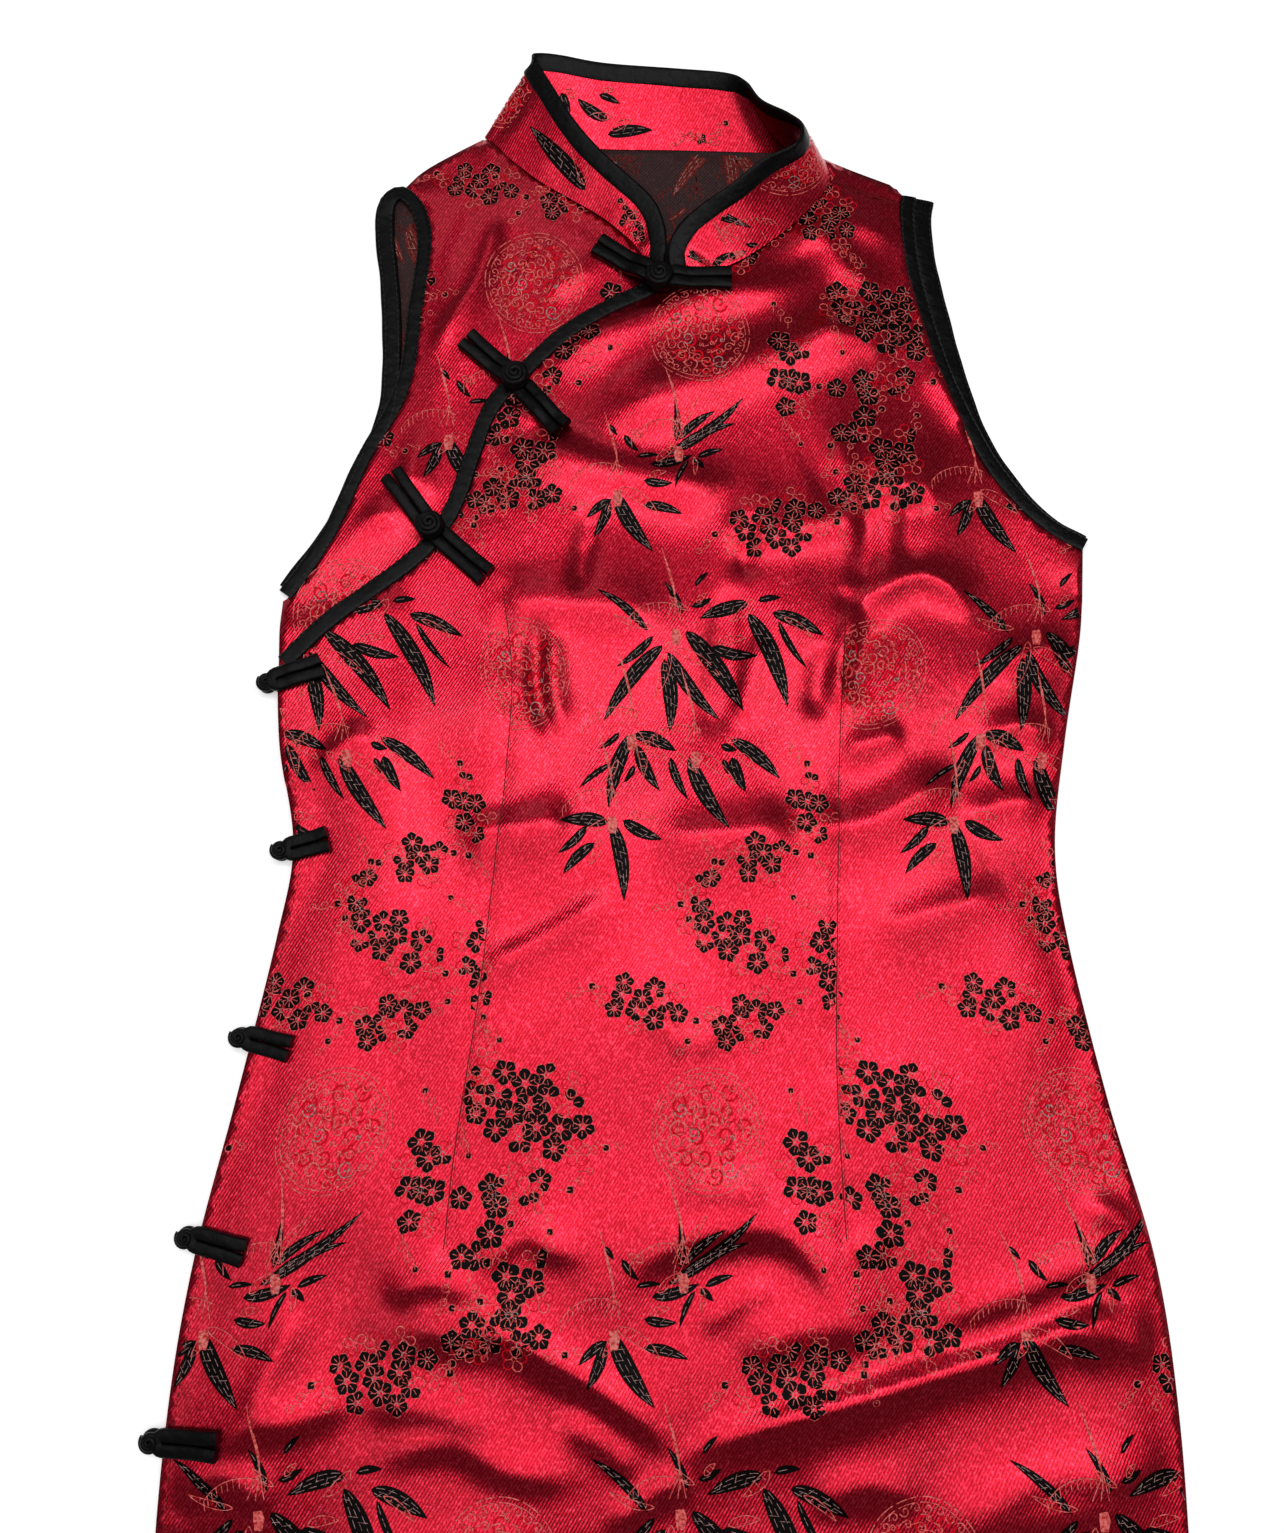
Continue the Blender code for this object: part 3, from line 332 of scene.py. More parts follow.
PLUM = [
    Cluster("bud end", 71, 366, 100, 6, 1.5, 0.8, 12.0),
    Cluster("by the bud end", 44, 392, 20, 6, 1.1, 0.9, 12.2),
    Cluster("above the slant", 14, 409, 80, 3, 1.2, 0.9, 12.2),
    Cluster("slanting", 32, 434, 335, 12, 1.5, 0.75, 12.4),
    Cluster("waist", 86, 449, 300, 13, 1.4, 0.9, 12.4),
    Cluster("left of waist", -16, 467, 350, 9, 1.4, 0.8, 12.2),
    Cluster("under waist", 35, 476, 20, 8, 1.3, 0.8, 12.2),
    Cluster("large", 129, 521, 335, 14, 1.15, 0.95, 15.6),
    Cluster("by the large", 99, 508, 80, 4, 1.4, 0.7, 14.0),
    Cluster("below medallion", 65, 553, 95, 7, 1.6, 0.65, 14.6),
    Cluster("hip", 115, 560, 10, 6, 1.7, 0.5, 14.6),
    Cluster("below hip", 103, 586, 50, 3, 1.2, 0.7, 15.2),
    Cluster("high", 122, 167, 60, 5, 1.3, 0.8, 15.2),
    Cluster("small", 118, 187, 340, 5, 1.3, 0.8, 14.6),
    Cluster("by the dart", 97, 190, 80, 3, 1.2, 0.7, 14.0),
    Cluster("chest", 57, 207, 15, 12, 1.4, 0.85, 13.4),
]
BACK_SHIFT = (38, 120)
COLLAR_OUTER_SHIFT, COLLAR_INNER_SHIFT = (30, 330), (205, 388)
# Where the back's wrong side shows, past the neck and past the left armhole
REVERSE_SHOWN = {
    "neck": [(-70, -28), (60, -28), (40, 30), (8, 60), (-30, 30)],
    "armhole": [(-163, 4), (-146, 10), (-143, 50), (-148, 100), (-158, 136), (-161, 100), (-163, 50)],
}
# Motifs on the collar's faces, from its left end along the band and up from its seam, and the stretch
# of the band where they take the place of the repeat
Chart = namedtuple("Chart", "leaves clusters first last")
COLLAR_OUTER_CHART = Chart(
    [Leaf(67, -8, 14, 52, 10)], [Cluster("collar front", 32, -11, 39, 7, 1.4, 0.8, 10.5)], 0, 128,
)
COLLAR_INNER_CHART = Chart(
    [
        Leaf(200, -16, 150, 22, 6.5), Leaf(201, -8, 6, 25, 7), Leaf(170, -30, 301, 17, 5),
        Leaf(193, -30, 340, 14, 4),
    ],
    [Cluster("collar back", 251, -6, 20, 1, 1.0, 1.0, 7.0)], 150, 320,
)
MEDALLIONS = [(16, 93), (-84, 292)]
MEDALLION_WIDTH, MEDALLION_LENGTH = 56.0, 62.0


# Curves in the plane of the dress


def smooth(points, step):
    """Points about every step along the smooth curve that goes through the given ones."""
    p = np.array([list(q) for q in points], float)
    p = np.vstack([2 * p[0] - p[1], p, 2 * p[-1] - p[-2]])
    found = []
    for a, b, c, d in zip(p[:-3], p[1:-2], p[2:-1], p[3:]):
        count = max(1, round(float(np.linalg.norm(c - b)) / step))
        for t in np.arange(count) / count:
            found.append(
                0.5 * (2 * b + (c - a) * t + (2 * a - 5 * b + 4 * c - d) * t**2
                       + (3 * b - a - 3 * c + d) * t**3)
            )
    found.append(p[-2])
    return np.array(found)


def smooth_rows(rows, at):
    """The smooth curve through the rows, read at places counted in rows."""
    p = np.array(rows, float)
    p = np.vstack([2 * p[0] - p[1], p, 2 * p[-1] - p[-2]])
    i = np.clip(at.astype(int), 0, len(rows) - 2)
    t = (at - i)[:, None]
    a, b, c, d = p[i], p[i + 1], p[i + 2], p[i + 3]
    return 0.5 * (2 * b + (c - a) * t + (2 * a - 5 * b + 4 * c - d) * t**2 + (3 * b - a - 3 * c + d) * t**3)


def offset(line, distance):
    """The line moved sideways, to the left of its way along, as seen on the dress, if distance is over 0."""
    way = np.gradient(line[:, :2], axis=0)
    way /= np.linalg.norm(way, axis=1)[:, None]
    return line[:, :2] + distance * np.stack([way[:, 1], -way[:, 0]], axis=1)


def run_along(line):
    """How far along the line each of its points is."""
    return np.concatenate([[0], np.cumsum(np.linalg.norm(np.diff(line, axis=0), axis=1))])


def side(which, drawn_in=0.0, step=CURVE_STEP):
    """The left or right edge below the arm. Below the slit it is drawn in towards the hem."""
    places = []
    for row in SIDES:
        open_part = max(0.0, (row.down - SLIT_DOWN) / (HEM_DOWN - SLIT_DOWN))
        across = getattr(row, which)
        places.append((across - math.copysign(drawn_in * open_part, across), row.down))
    return smooth(places, step)


LEFT_SIDE, RIGHT_SIDE = side("left", step=15), side("right", step=15)


def side_at(line, down):
    return np.interp(down, line[:, 1], line[:, 0])


def distance_to(line, across, down):
    """How far each place is from the line."""
    best = np.full(np.shape(across), 1e9)
    for (ax, ad), (bx, bd) in zip(line[:-1, :2], line[1:, :2]):
        length = max((bx - ax) ** 2 + (bd - ad) ** 2, 1e-9)
        t = np.clip(((across - ax) * (bx - ax) + (down - ad) * (bd - ad)) / length, 0, 1)
        best = np.minimum(best, (across - ax - t * (bx - ax)) ** 2 + (down - ad - t * (bd - ad)) ** 2)
    return np.sqrt(best)


def inside(outline, across, down):
    """Whether each place is within the closed outline."""
    found = np.zeros(np.shape(across), bool)
    for (ax, ad), (bx, bd) in zip(outline, np.roll(outline, -1, axis=0)):
        if ad != bd:
            crosses = (ad > down) != (bd > down)
            found ^= crosses & (across < ax + (down - ad) * (bx - ax) / (bd - ad))
    return found


def ease(x):
    """0 below 0, 1 above 1, and smooth between them."""
    x = np.clip(x, 0.0, 1.0)
    return x * x * (3 - 2 * x)


# Heights of the layers


def fold_line(fold, count=9):
    start = np.array([fold.from_across, fold.from_down])
    end = np.array([fold.to_across, fold.to_down])
    way = end - start
    right = np.array([-way[1], way[0]]) / np.linalg.norm(way)
    middle = (start + end) / 2 + 2 * fold.bow * right
    t = np.linspace(0, 1, count)[:, None]
    return (1 - t) ** 2 * start + 2 * t * (1 - t) * middle + t**2 * end


def folds(across, down):
    """The height that the soft ridges and low waves add to the front."""
    total = np.zeros(np.shape(across))
    for fold in FOLDS:
        total += raised_line(fold_line(fold), fold.height, fold.width, fold.width, 2.0, across, down)
    for crease in CREASES:
        line = smooth(crease.line, 5)
        total += raised_line(line, crease.height, crease.above, crease.below, crease.edge, across, down)
    for wave in WAVES:
        way = math.radians(wave.way)
        run = (across * math.cos(way) + down * math.sin(way)) / wave.length
        total += wave.height * np.sin(2 * math.pi * run + wave.start)
    return total


# How many feet away a ridge is nothing, the share of its length that it fades over at each end, how
# fast it falls from its crest, and how round the crest is, in millimetres
RIDGE_REACH, RIDGE_FADE, RIDGE_FALL, CREST_ROUND = 2.4, 0.28, 1.4, 0.8


def raised_line(line, height, above, below, edge, across, down):
    """The height of a ridge along a line that fades out towards both of its ends."""
    total = np.zeros(np.shape(across))
    reach = RIDGE_REACH * max(above, below)
    low, high = line.min(0) - reach, line.max(0) + reach
    near = (across > low[0]) & (across < high[0]) & (down > low[1]) & (down < high[1])
    x, y = across[near], down[near]
    best = np.full(x.shape, 1e9)
    share = np.zeros(x.shape)
    for i, (a, b) in enumerate(zip(line[:-1], line[1:])):
        way = b - a
        t = np.clip(((x - a[0]) * way[0] + (y - a[1]) * way[1]) / (way @ way), 0, 1)
        out = np.stack([x - a[0] - t * way[0], y - a[1] - t * way[1]])
        away = np.hypot(*out)
        foot = np.where(way[0] * out[1] - way[1] * out[0] > 0, below, above)
        along = (i + t) / (len(line) - 1)
        taper = ease(np.minimum(along, 1 - along) / RIDGE_FADE) * 0.92 + 0.08
        closer = away < best
        best = np.where(closer, away, best)
        fall = np.exp(-RIDGE_FALL * (np.hypot(away, CREST_ROUND) / foot) ** edge)
        share = np.where(closer, taper * fall, share)
    total[near] = height * share
    return total


# How long the lift takes to rise and fall, and how far it goes in from the edge
LIFT_EASE, LIFT_IN = 24, 19


def lift(across, down, reach):
    """How far the cords below the left edge hold it up. A layer's lift reaches further than the one below."""
    inward = across - side_at(LEFT_SIDE, down)
    along = ease((down - LIFT_FIRST + reach) / LIFT_EASE) * ease((LIFT_LAST + reach - down) / LIFT_EASE)
    return SIDE_LIFT * along * (1 - ease((inward - LIFT_IN - reach) / LIFT_EASE))


# How much further the lift reaches in each of the layers
BACK_REACH, UNDER_REACH, MAIN_REACH = 10.0, 22.0, 34.0

# How far from an edge the inner height counts about as much as the edge's own
EDGE_REACH = 26.0


def between_edges(across, down, edges, inner):
    """A height that is each edge's own at that edge and eases to the inner height away from all of them."""
    weights = np.full(np.shape(across), 1 / EDGE_REACH**3)
    total = np.full(np.shape(across), inner / EDGE_REACH**3)
    for line, height in edges:
        weight = 1 / (distance_to(line, across, down) + 1.5) ** 3
        weights, total = weights + weight, total + weight * height
    return total / weights


# The depth and the half width of the dips along the darts and the shoulder seam, and of a dart's puckers
DART_DIP, SHOULDER_DIP, PUCKERS = (0.9, 3.4), (1.2, 3.2), (0.22, 6.0)


def dip(size, away):
    depth, width = size
    return depth * np.exp(-((away / width) ** 2))


def dart_valley(across, down):
    """The narrow dips along the seams of the darts and the shoulder, puckered beside the darts."""
    near = np.minimum(distance_to(LEFT_DART_LINE, across, down), distance_to(RIGHT_DART_LINE, across, down))
    shoulder = distance_to(smooth(SHOULDER_SEAM, 8), across, down)
    return np.sin(down / 3.1) * dip(PUCKERS, near) - dip(DART_DIP, near) - dip(SHOULDER_DIP, shoulder)


def back_top(across, down):
    return lift(across, down, BACK_REACH) + CLOTH


# The part of the left edge where the under panel rests on the back
UNDER_SIDE = np.array([[-213.5, 244], [-212, 300]])


def under_top(across, down):
    """The under panel is flat where the main panel hides it and softly raised where it shows."""
    shown = ease((distance_to(OPENING_LINE, across, down) - 6) / 30)
    shown = np.where(inside(UNDER_SHOWN, across, down), shown, 0.0)
    edges = [
        (LEFT_FRONT_CUT, ARMHOLE_HEIGHT),
        (smooth(LEFT_SHOULDER, 20), SEAM_HEIGHT),
        (LEFT_NECK, NECK_HEIGHT),
        (UNDER_SIDE, SEAM_HEIGHT),
    ]
    raised = between_edges(across, down, edges, INNER_HEIGHT) - SEAM_HEIGHT
    fade = ease(distance_to(np.vstack([line for line, _ in edges]), across, down) / 20)
    soft = np.maximum(folds(across, down) * fade, -0.8)
    return SEAM_HEIGHT + lift(across, down, UNDER_REACH) + shown * np.maximum(raised + soft, 0) + CLOTH


# Where the main panel's left edge begins to rest on the back, and how far down and past its own edge the
# under panel holds the main panel up
MAIN_SIDE_FROM, UNDER_DOWN, UNDER_PAST = 340, 352, 24


def main_top(across, down):
    """The main panel rests on the under panel at the opening and on the back panel at its other edges."""
    edges = [
        (RIGHT_FRONT_CUT, ARMHOLE_HEIGHT),
        (smooth(RIGHT_SHOULDER, 20), SEAM_HEIGHT),
        (RIGHT_NECK, NECK_HEIGHT),
        (OPENING_LINE, MAIN_OVER_UNDER),
        (RIGHT_SIDE, SEAM_HEIGHT),
        (LEFT_SIDE[LEFT_SIDE[:, 1] > MAIN_SIDE_FROM], SEAM_HEIGHT),
    ]
    base = between_edges(across, down, edges, INNER_HEIGHT)
    from_side = np.minimum(across - side_at(LEFT_SIDE, down), side_at(RIGHT_SIDE, down) - across)
    from_edge = distance_to(np.vstack([RIGHT_NECK, OPENING_LINE]), across, down)
    fade = np.minimum(ease(from_side / 20 + 0.1), ease(from_edge / 13))
    above_hem = ease((HEM_DOWN - down) / 40) * 0.7 + 0.3
    height = base + folds(across, down) * fade * above_hem + dart_valley(across, down)
    over_under = (down < UNDER_DOWN) & (across < side_at(HIDDEN_LINE, down) + UNDER_PAST)
    lowest = np.where(over_under, MAIN_OVER_UNDER, SEAM_HEIGHT)
    return np.maximum(height, lowest) + lift(across, down, MAIN_REACH) + CLOTH


OPENING_LINE = smooth(OPENING, 8)
HIDDEN_LINE = smooth(HIDDEN_EDGE, 10)
LEFT_DART_LINE, RIGHT_DART_LINE = smooth(LEFT_DART, 12), smooth(RIGHT_DART, 12)
COLLAR_WALL = COLLAR_THICKNESS / 2 + SEAM_GAP


def collar_seam(first, last):
    """The line that the collar is sewn along, between two named sections."""
    names = [s.name for s in COLLAR]
    at = np.arange(names.index(first), names.index(last) + 0.01, 1 / 6)
    return smooth_rows([(s.seam_across, s.seam_down) for s in COLLAR], at)


LEFT_NECK = offset(collar_seam("left end", "left fold front"), COLLAR_WALL)
RIGHT_NECK = offset(collar_seam("right fold", "right end"), COLLAR_WALL)
LEFT_FRONT_CUT = offset(smooth(LEFT_FRONT_ARMHOLE, 8), -FRONT_BINDING / 2 - SEAM_GAP)[::-1]
RIGHT_FRONT_CUT = offset(smooth(RIGHT_FRONT_ARMHOLE, 8), -FRONT_BINDING / 2 - SEAM_GAP)
UNDER_SHOWN = np.vstack([OPENING_LINE, [[-300, 300], [-300, -80], [20, -80]]])
# How far cloth runs in under a binding or against the collar
TUCK = 1.6
# Where the under panel's left edge ends, and where the main panel's begins
UNDER_EDGE_TO, MAIN_EDGE_FROM = 326, 292


def back_outline():
    left = offset(smooth(LEFT_BACK_ARMHOLE, 5), FRONT_BINDING / 2 - TUCK)
    right = offset(smooth(RIGHT_BACK_ARMHOLE[1:], 5), -BACK_BINDING / 2 + TUCK)
    neck = smooth(BACK_NECK, 5) - [0, TUCK]
    return np.vstack([
        side("left"), side("right")[::-1], right[::-1], smooth(RIGHT_SHOULDER, 5)[-1:0:-1],
        neck[::-1], smooth(LEFT_SHOULDER, 5)[1:], left,
    ])


def under_outline():
    left_side = side("left")
    left_side = left_side[left_side[:, 1] < UNDER_EDGE_TO]
    armhole = offset(smooth(LEFT_FRONT_ARMHOLE, 5), -FRONT_BINDING / 2 + TUCK)[::-1]
    neck = offset(collar_seam("left end", "left fold front"), COLLAR_WALL - TUCK)
    return np.vstack([
        armhole, left_side, smooth(HIDDEN_EDGE, 6)[::-1], neck, smooth(LEFT_SHOULDER, 5)[1:-1],
    ])


def main_outline():
    left = side("left", SLIT_DRAWN_IN)
    left = left[left[:, 1] > MAIN_EDGE_FROM]
    cut = offset(smooth(OPENING, 5), OPENING_BINDING / 2 - TUCK)
    armhole = offset(smooth(RIGHT_FRONT_ARMHOLE, 5), -FRONT_BINDING / 2 + TUCK)
    neck = offset(collar_seam("right fold", "right end"), COLLAR_WALL - TUCK)
    return np.vstack([
        left, side("right", SLIT_DRAWN_IN)[::-1], armhole[::-1],
        smooth(RIGHT_SHOULDER, 5)[-2:0:-1], neck, cut,
    ])


# Finishes


def finish(name, values):
    """A material whose shader has the given values on its own sockets."""
    made = bpy.data.materials.new(name)
    made.use_nodes = True
    shader = made.node_tree.nodes["Principled BSDF"]
    for socket, value in values.items():
        shader.inputs[socket].default_value = value
    return made


def add_node(made, kind, values=None, links=None, **settings):
    node = made.node_tree.nodes.new(kind)
    for name, value in settings.items():
        setattr(node, name, value)
    for socket, value in (values or {}).items():
        node.inputs[socket].default_value = value
    for socket, source in (links or {}).items():
        made.node_tree.links.new(source, node.inputs[socket])
    return node


def into_shader(made, socket, source):
    made.node_tree.links.new(source, made.node_tree.nodes["Principled BSDF"].inputs[socket])


def mapped(made, turn, scale):
    """Places in metres, turned about Z by degrees and then scaled."""
    where = add_node(made, "ShaderNodeTexCoord")
    turned = add_node(
        made, "ShaderNodeMapping", {"Rotation": (0, 0, math.radians(turn)), "Scale": scale},
        {"Vector": where.outputs["Object"]},
    )
    return turned.outputs["Vector"]


WAVE_METRES = math.pi / 10


def twill(made, turn, pitch, wobble=0.6):
    """Slanting lines of a twill or satin weave, pitch millimetres apart."""
    return add_node(
        made, "ShaderNodeTexWave",
        {"Scale": WAVE_METRES / (pitch * MM), "Distortion": wobble, "Detail": 1.0, "Detail Scale": 2.0},
        {"Vector": mapped(made, turn, (1, 1, 1))},
    ).outputs["Fac"]


def threads(made, across_per_metre, along_per_metre, detail=2.0):
    """Uneven threads that run down the dress."""
    return add_node(
        made, "ShaderNodeTexNoise", {"Scale": 1.0, "Detail": detail},
        {"Vector": mapped(made, 0, (across_per_metre, along_per_metre, along_per_metre))},
    ).outputs["Fac"]


def blend_colours(made, factor, low, high):
    mix = add_node(made, "ShaderNodeMix", data_type="RGBA")
    made.node_tree.links.new(factor, mix.inputs["Factor"])
    for socket, value in ((mix.inputs["A"], low), (mix.inputs["B"], high)):
        if isinstance(value, bpy.types.NodeSocket):
            made.node_tree.links.new(value, socket)
        else:
            socket.default_value = (*value, 1)
    return mix.outputs["Result"]


def spread(made, factor, low, high):
    """The factor stretched from low..high to 0..1."""
    return add_node(
        made, "ShaderNodeMapRange", {"From Min": low, "From Max": high}, {"Value": factor}
    ).outputs["Result"]


def raised(made, height, distance, strength, below=None):
    """A bump of the given height in metres, over another one."""
    bump = add_node(
        made, "ShaderNodeBump", {"Strength": strength, "Distance": distance}, {"Height": height}
    )
    if below is not None:
        made.node_tree.links.new(below, bump.inputs["Normal"])
    return bump.outputs["Normal"]


def satin():
    """Silk satin, whose long threads run down the dress and spread the light across it."""
    made = finish("satin", {
        "Metallic": 0.97, "Roughness": 0.28, "Specular IOR Level": 0.2, "Anisotropic": 0.5,
        "Coat Weight": 0.13, "Coat Roughness": 0.2,
    })
    into_shader(made, "Tangent", add_node(made, "ShaderNodeCombineXYZ", {"X": 1.0}).outputs["Vector"])
    lines = twill(made, 32, 1.5, 0.9)
    grain = threads(made, 2200, 420)
    speckle = threads(made, 850, 620)
    patches = threads(made, 26, 18, 3.0)
    base = blend_colours(made, spread(made, lines, 0.15, 0.85), (0.42, 0.001, 0.010), (0.78, 0.019, 0.060))
    base = blend_colours(made, spread(made, grain, 0.40, 0.80), base, (0.34, 0.001, 0.008))
    base = blend_colours(made, spread(made, speckle, 0.50, 0.85), base, (0.26, 0.001, 0.005))
    base = blend_colours(made, spread(made, speckle, 0.46, 0.15), base, (0.95, 0.06, 0.12))
    into_shader(made, "Base Color", base)
    crumple = raised(made, patches, 0.0022, 0.5)
    weave = raised(made, speckle, 0.00018, 0.45, crumple)
    into_shader(made, "Normal", raised(made, lines, 0.00018, 0.45, weave))
    return made


def shaded_wrong_side():
    """The back of the brocade: its twill lines and grain are its own, and its near-black colour is painted
    shade of the inside of the dress.
    """
    made = finish("shaded_wrong_side", {"Roughness": 0.6, "Specular IOR Level": 0.2, "Sheen Weight": 0.06})
    lines = twill(made, 42, 1.5)
    grain = threads(made, 1500, 500)
    # Painted shade: the wrong side's colours are kept near black to stand for the shade inside the dress
    base = blend_colours(made, spread(made, lines, 0.2, 0.8), (0.016, 0.005, 0.006), (0.046, 0.019, 0.020))
    base = blend_colours(made, spread(made, grain, 0.52, 0.72), base, (0.085, 0.026, 0.024))
    into_shader(made, "Base Color", base)
    into_shader(made, "Normal", raised(made, lines, 0.00025, 0.5))
    return made


def black_satin(name, roughness):
    made = finish(name, {"Roughness": roughness, "Specular IOR Level": 0.11})
    grain = threads(made, 900, 900, 3.0)
    lines = twill(made, 45, 0.7)
    base = blend_colours(made, spread(made, grain, 0.35, 0.7), (0.0008, 0.0008, 0.001), (0.003, 0.003, 0.004))
    into_shader(made, "Base Color", base)
    pucker = raised(made, threads(made, 160, 160, 2.0), 0.0012, 0.6)
    into_shader(made, "Normal", raised(made, lines, 0.00015, 0.3, pucker))
    return made


def thread(name, dark, light, roughness, shine, per_metre=2600):
    """Silk thread, darker and lighter along its way."""
    made = finish(name, {"Roughness": roughness, "Specular IOR Level": shine})
    grain = threads(made, per_metre, per_metre, 2.0)
    into_shader(made, "Base Color", blend_colours(made, spread(made, grain, 0.35, 0.65), dark, light))
    into_shader(made, "Normal", raised(made, grain, 0.0002, 0.5))
    return made


SATIN, SHADED_WRONG_SIDE = satin(), shaded_wrong_side()
BINDING, CORD = black_satin("binding_satin", 0.34), black_satin("cord_satin", 0.38)
BLACK_SILK = thread("black_silk", (0.0008, 0.0005, 0.0005), (0.004, 0.0015, 0.002), 0.42, 0.05)
SALMON_SILK = thread("salmon_silk", (0.50, 0.010, 0.014), (1.0, 0.22, 0.20), 0.45, 0.15, 700)
PALE_SILK = thread("pale_silk", (0.12, 0.04, 0.04), (0.62, 0.38, 0.35), 0.4, 0.2, 700)
DEEP_SILK = thread("deep_red_silk", (0.55, 0.001, 0.008), (0.85, 0.005, 0.020), 0.5, 0.05, 900)
SILKS = [BLACK_SILK, SALMON_SILK, PALE_SILK, DEEP_SILK]
DEEP_RED = thread("deep_red_thread", (0.10, 0.001, 0.004), (0.22, 0.002, 0.008), 0.5, 0.2)
# Dark red: the front's stitch thread, and the back's reverse pattern where it shows past the neck and
# armhole, kept dark there as painted shade
REVERSE_RED = thread("reverse_red", (0.08, 0.006, 0.006), (0.20, 0.022, 0.016), 0.5, 0.1, 900)
BLACK_THREAD = thread("black_thread", (0.008, 0.008, 0.01), (0.04, 0.04, 0.045), 0.5, 0.3)


# Meshes


def to_frame(points):
    """Places on the dress with their heights, in the model's own frame, in metres."""
    p = np.asarray(points, float)
    return MM * np.column_stack([p[:, 0] - CENTRE_ACROSS, CENTRE_DOWN - p[:, 1], p[:, 2]])


def add_object(name, points, faces, made_of, closed=False, smooth_angle=None, kinds=None):
    """A mesh piece that rides on the dress."""
    mesh = bpy.data.meshes.new(name)
    mesh.from_pydata(to_frame(points).tolist(), [], [list(map(int, f)) for f in faces])
    if closed:
        work = bmesh.new()
        work.from_mesh(mesh)
        bmesh.ops.recalc_face_normals(work, faces=work.faces)
        work.to_mesh(mesh)
        work.free()
    mesh.shade_smooth()
    if smooth_angle:
        mesh.set_sharp_from_angle(angle=math.radians(smooth_angle))
    for material in made_of:
        mesh.materials.append(material)
    if kinds is not None:
        mesh.polygons.foreach_set("material_index", np.asarray(kinds, np.int32))
    obj = bpy.data.objects.new(name, mesh)
    bpy.context.scene.collection.objects.link(obj)
    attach(obj, "root")
    return obj


# The least distance between points along an outline
LEAST_STEP = 1.5


def filled(outline, step_above, step_below):
    """Points and triangles that fill the outline: a grid inside it, joined to the points along it."""
    keep = [outline[0]]
    for p in outline[1:]:
        if np.linalg.norm(p - keep[-1]) > LEAST_STEP:
            keep.append(p)
    if np.linalg.norm(keep[0] - keep[-1]) <= LEAST_STEP:
        keep.pop()
    outline = np.array(keep)
    (low_across, low_down), (high_across, high_down) = outline.min(0), outline.max(0)
    grids = []
    for step, first, last in (
        (step_above, low_down, min(COARSE_FROM, high_down)),
        (step_below, COARSE_FROM + step_below * 0.3, high_down),
    ):
        across, down = np.meshgrid(
            np.arange(low_across + step / 2, high_across, step), np.arange(first + step / 2, last, step)
        )
        across = across + (np.arange(len(down)) % 2)[:, None] * step / 2
        across, down = across.ravel(), down.ravel()
        clear = distance_to(np.vstack([outline, outline[:1]]), across, down) > 0.55 * step
        clear &= inside(outline, across, down)
        grids.append(np.stack([across[clear], down[clear]], axis=1))
    points = np.vstack([outline, *grids])
    count = len(outline)
    made = delaunay_2d_cdt(
        [Vector(p) for p in points], [(i, (i + 1) % count) for i in range(count)], [], 1, 1e-4
    )
    return np.array([list(v) for v in made[0]]), [list(f)[::-1] for f in made[2]]


# The share of the solid's thickness that the seen cloth has
SEEN_CLOTH = 0.8


def panel(name, outline, top, outer, inner, step_above=FINE_STEP, step_below=COARSE_STEP):
    """A sheet of cloth that fills the outline, with its upper face at the height that the function gives."""
    flat, triangles = filled(outline, step_above, step_below)
    points = np.column_stack([flat, top(flat[:, 0], flat[:, 1])])
    obj = add_object(name, points, triangles, [outer, inner])
    wall = obj.modifiers.new("wall", "SOLIDIFY")
    wall.thickness = SEEN_CLOTH * CLOTH * MM
    wall.offset = -1
    wall.material_offset = 1
    return obj


SHARP_ANGLE = 50


def sweep(name, rings, made_of, closed=False):
    """A solid through rings of points, each with the same number of them, with flat ends."""
    count, size = len(rings), len(rings[0])
    points = np.array([p for ring in rings for p in ring])
    faces = []
    for i in range(count if closed else count - 1):
        for j in range(size):
            k, n = (j + 1) % size, (i + 1) % count
            faces.append([i * size + j, i * size + k, n * size + k, n * size + j])
    if not closed:
        faces += [list(range(size)), list(range((count - 1) * size, count * size))[::-1]]
    return add_object(name, points, faces, [made_of], closed=True, smooth_angle=SHARP_ANGLE)


def rounded_section(half_width, half_height, sides=14, square=0.62):
    """Points round a flattened section with soft edges."""
    turn = np.arange(sides) * 2 * math.pi / sides
    c, s = np.cos(turn), np.sin(turn)
    return np.column_stack([
        half_width * np.sign(c) * np.abs(c) ** square, half_height * np.sign(s) * np.abs(s) ** square
    ])


def tube(name, path, wide, half_width, half_height, made_of, closed=False, sides=14, square=0.62):
    """A flattened tube along a path in space. wide is the way across it at each point."""
    way = np.gradient(path, axis=0)
    if closed:
        way = np.roll(path, -1, axis=0) - np.roll(path, 1, axis=0)
    way /= np.linalg.norm(way, axis=1)[:, None]
    wide = wide - (wide * way).sum(1)[:, None] * way
    wide /= np.linalg.norm(wide, axis=1)[:, None]
    up = np.cross(wide, way)
    half_width = np.broadcast_to(half_width, len(path))
    half_height = np.broadcast_to(half_height, len(path))
    rings = []
    for p, w, u, x_size, z_size in zip(path, wide, up, half_width, half_height):
        section = rounded_section(x_size, z_size, sides, square)
        rings.append([p + x * w + z * u for x, z in section])
    return sweep(name, rings, made_of, closed)


def level_wide(line):
    way = np.gradient(line, axis=0)
    return np.column_stack([way[:, 1], -way[:, 0], np.zeros(len(line))])


def level_binding(name, line, height, width):
    """A binding whose width lies level along a line, a little uneven as sewn cloth is."""
    path = np.column_stack([line, np.broadcast_to(height, len(line))])
    run = run_along(line)
    uneven = 1 + 0.025 * np.sin(run / 9.0) + 0.02 * np.sin(run / 4.1 + 1)
    obj = tube(name, path, level_wide(line), width / 2 * uneven, BINDING_THICKNESS / 2, BINDING)
    return obj, edge_stitches(name + "_stitches", line, height, np.mean(width))


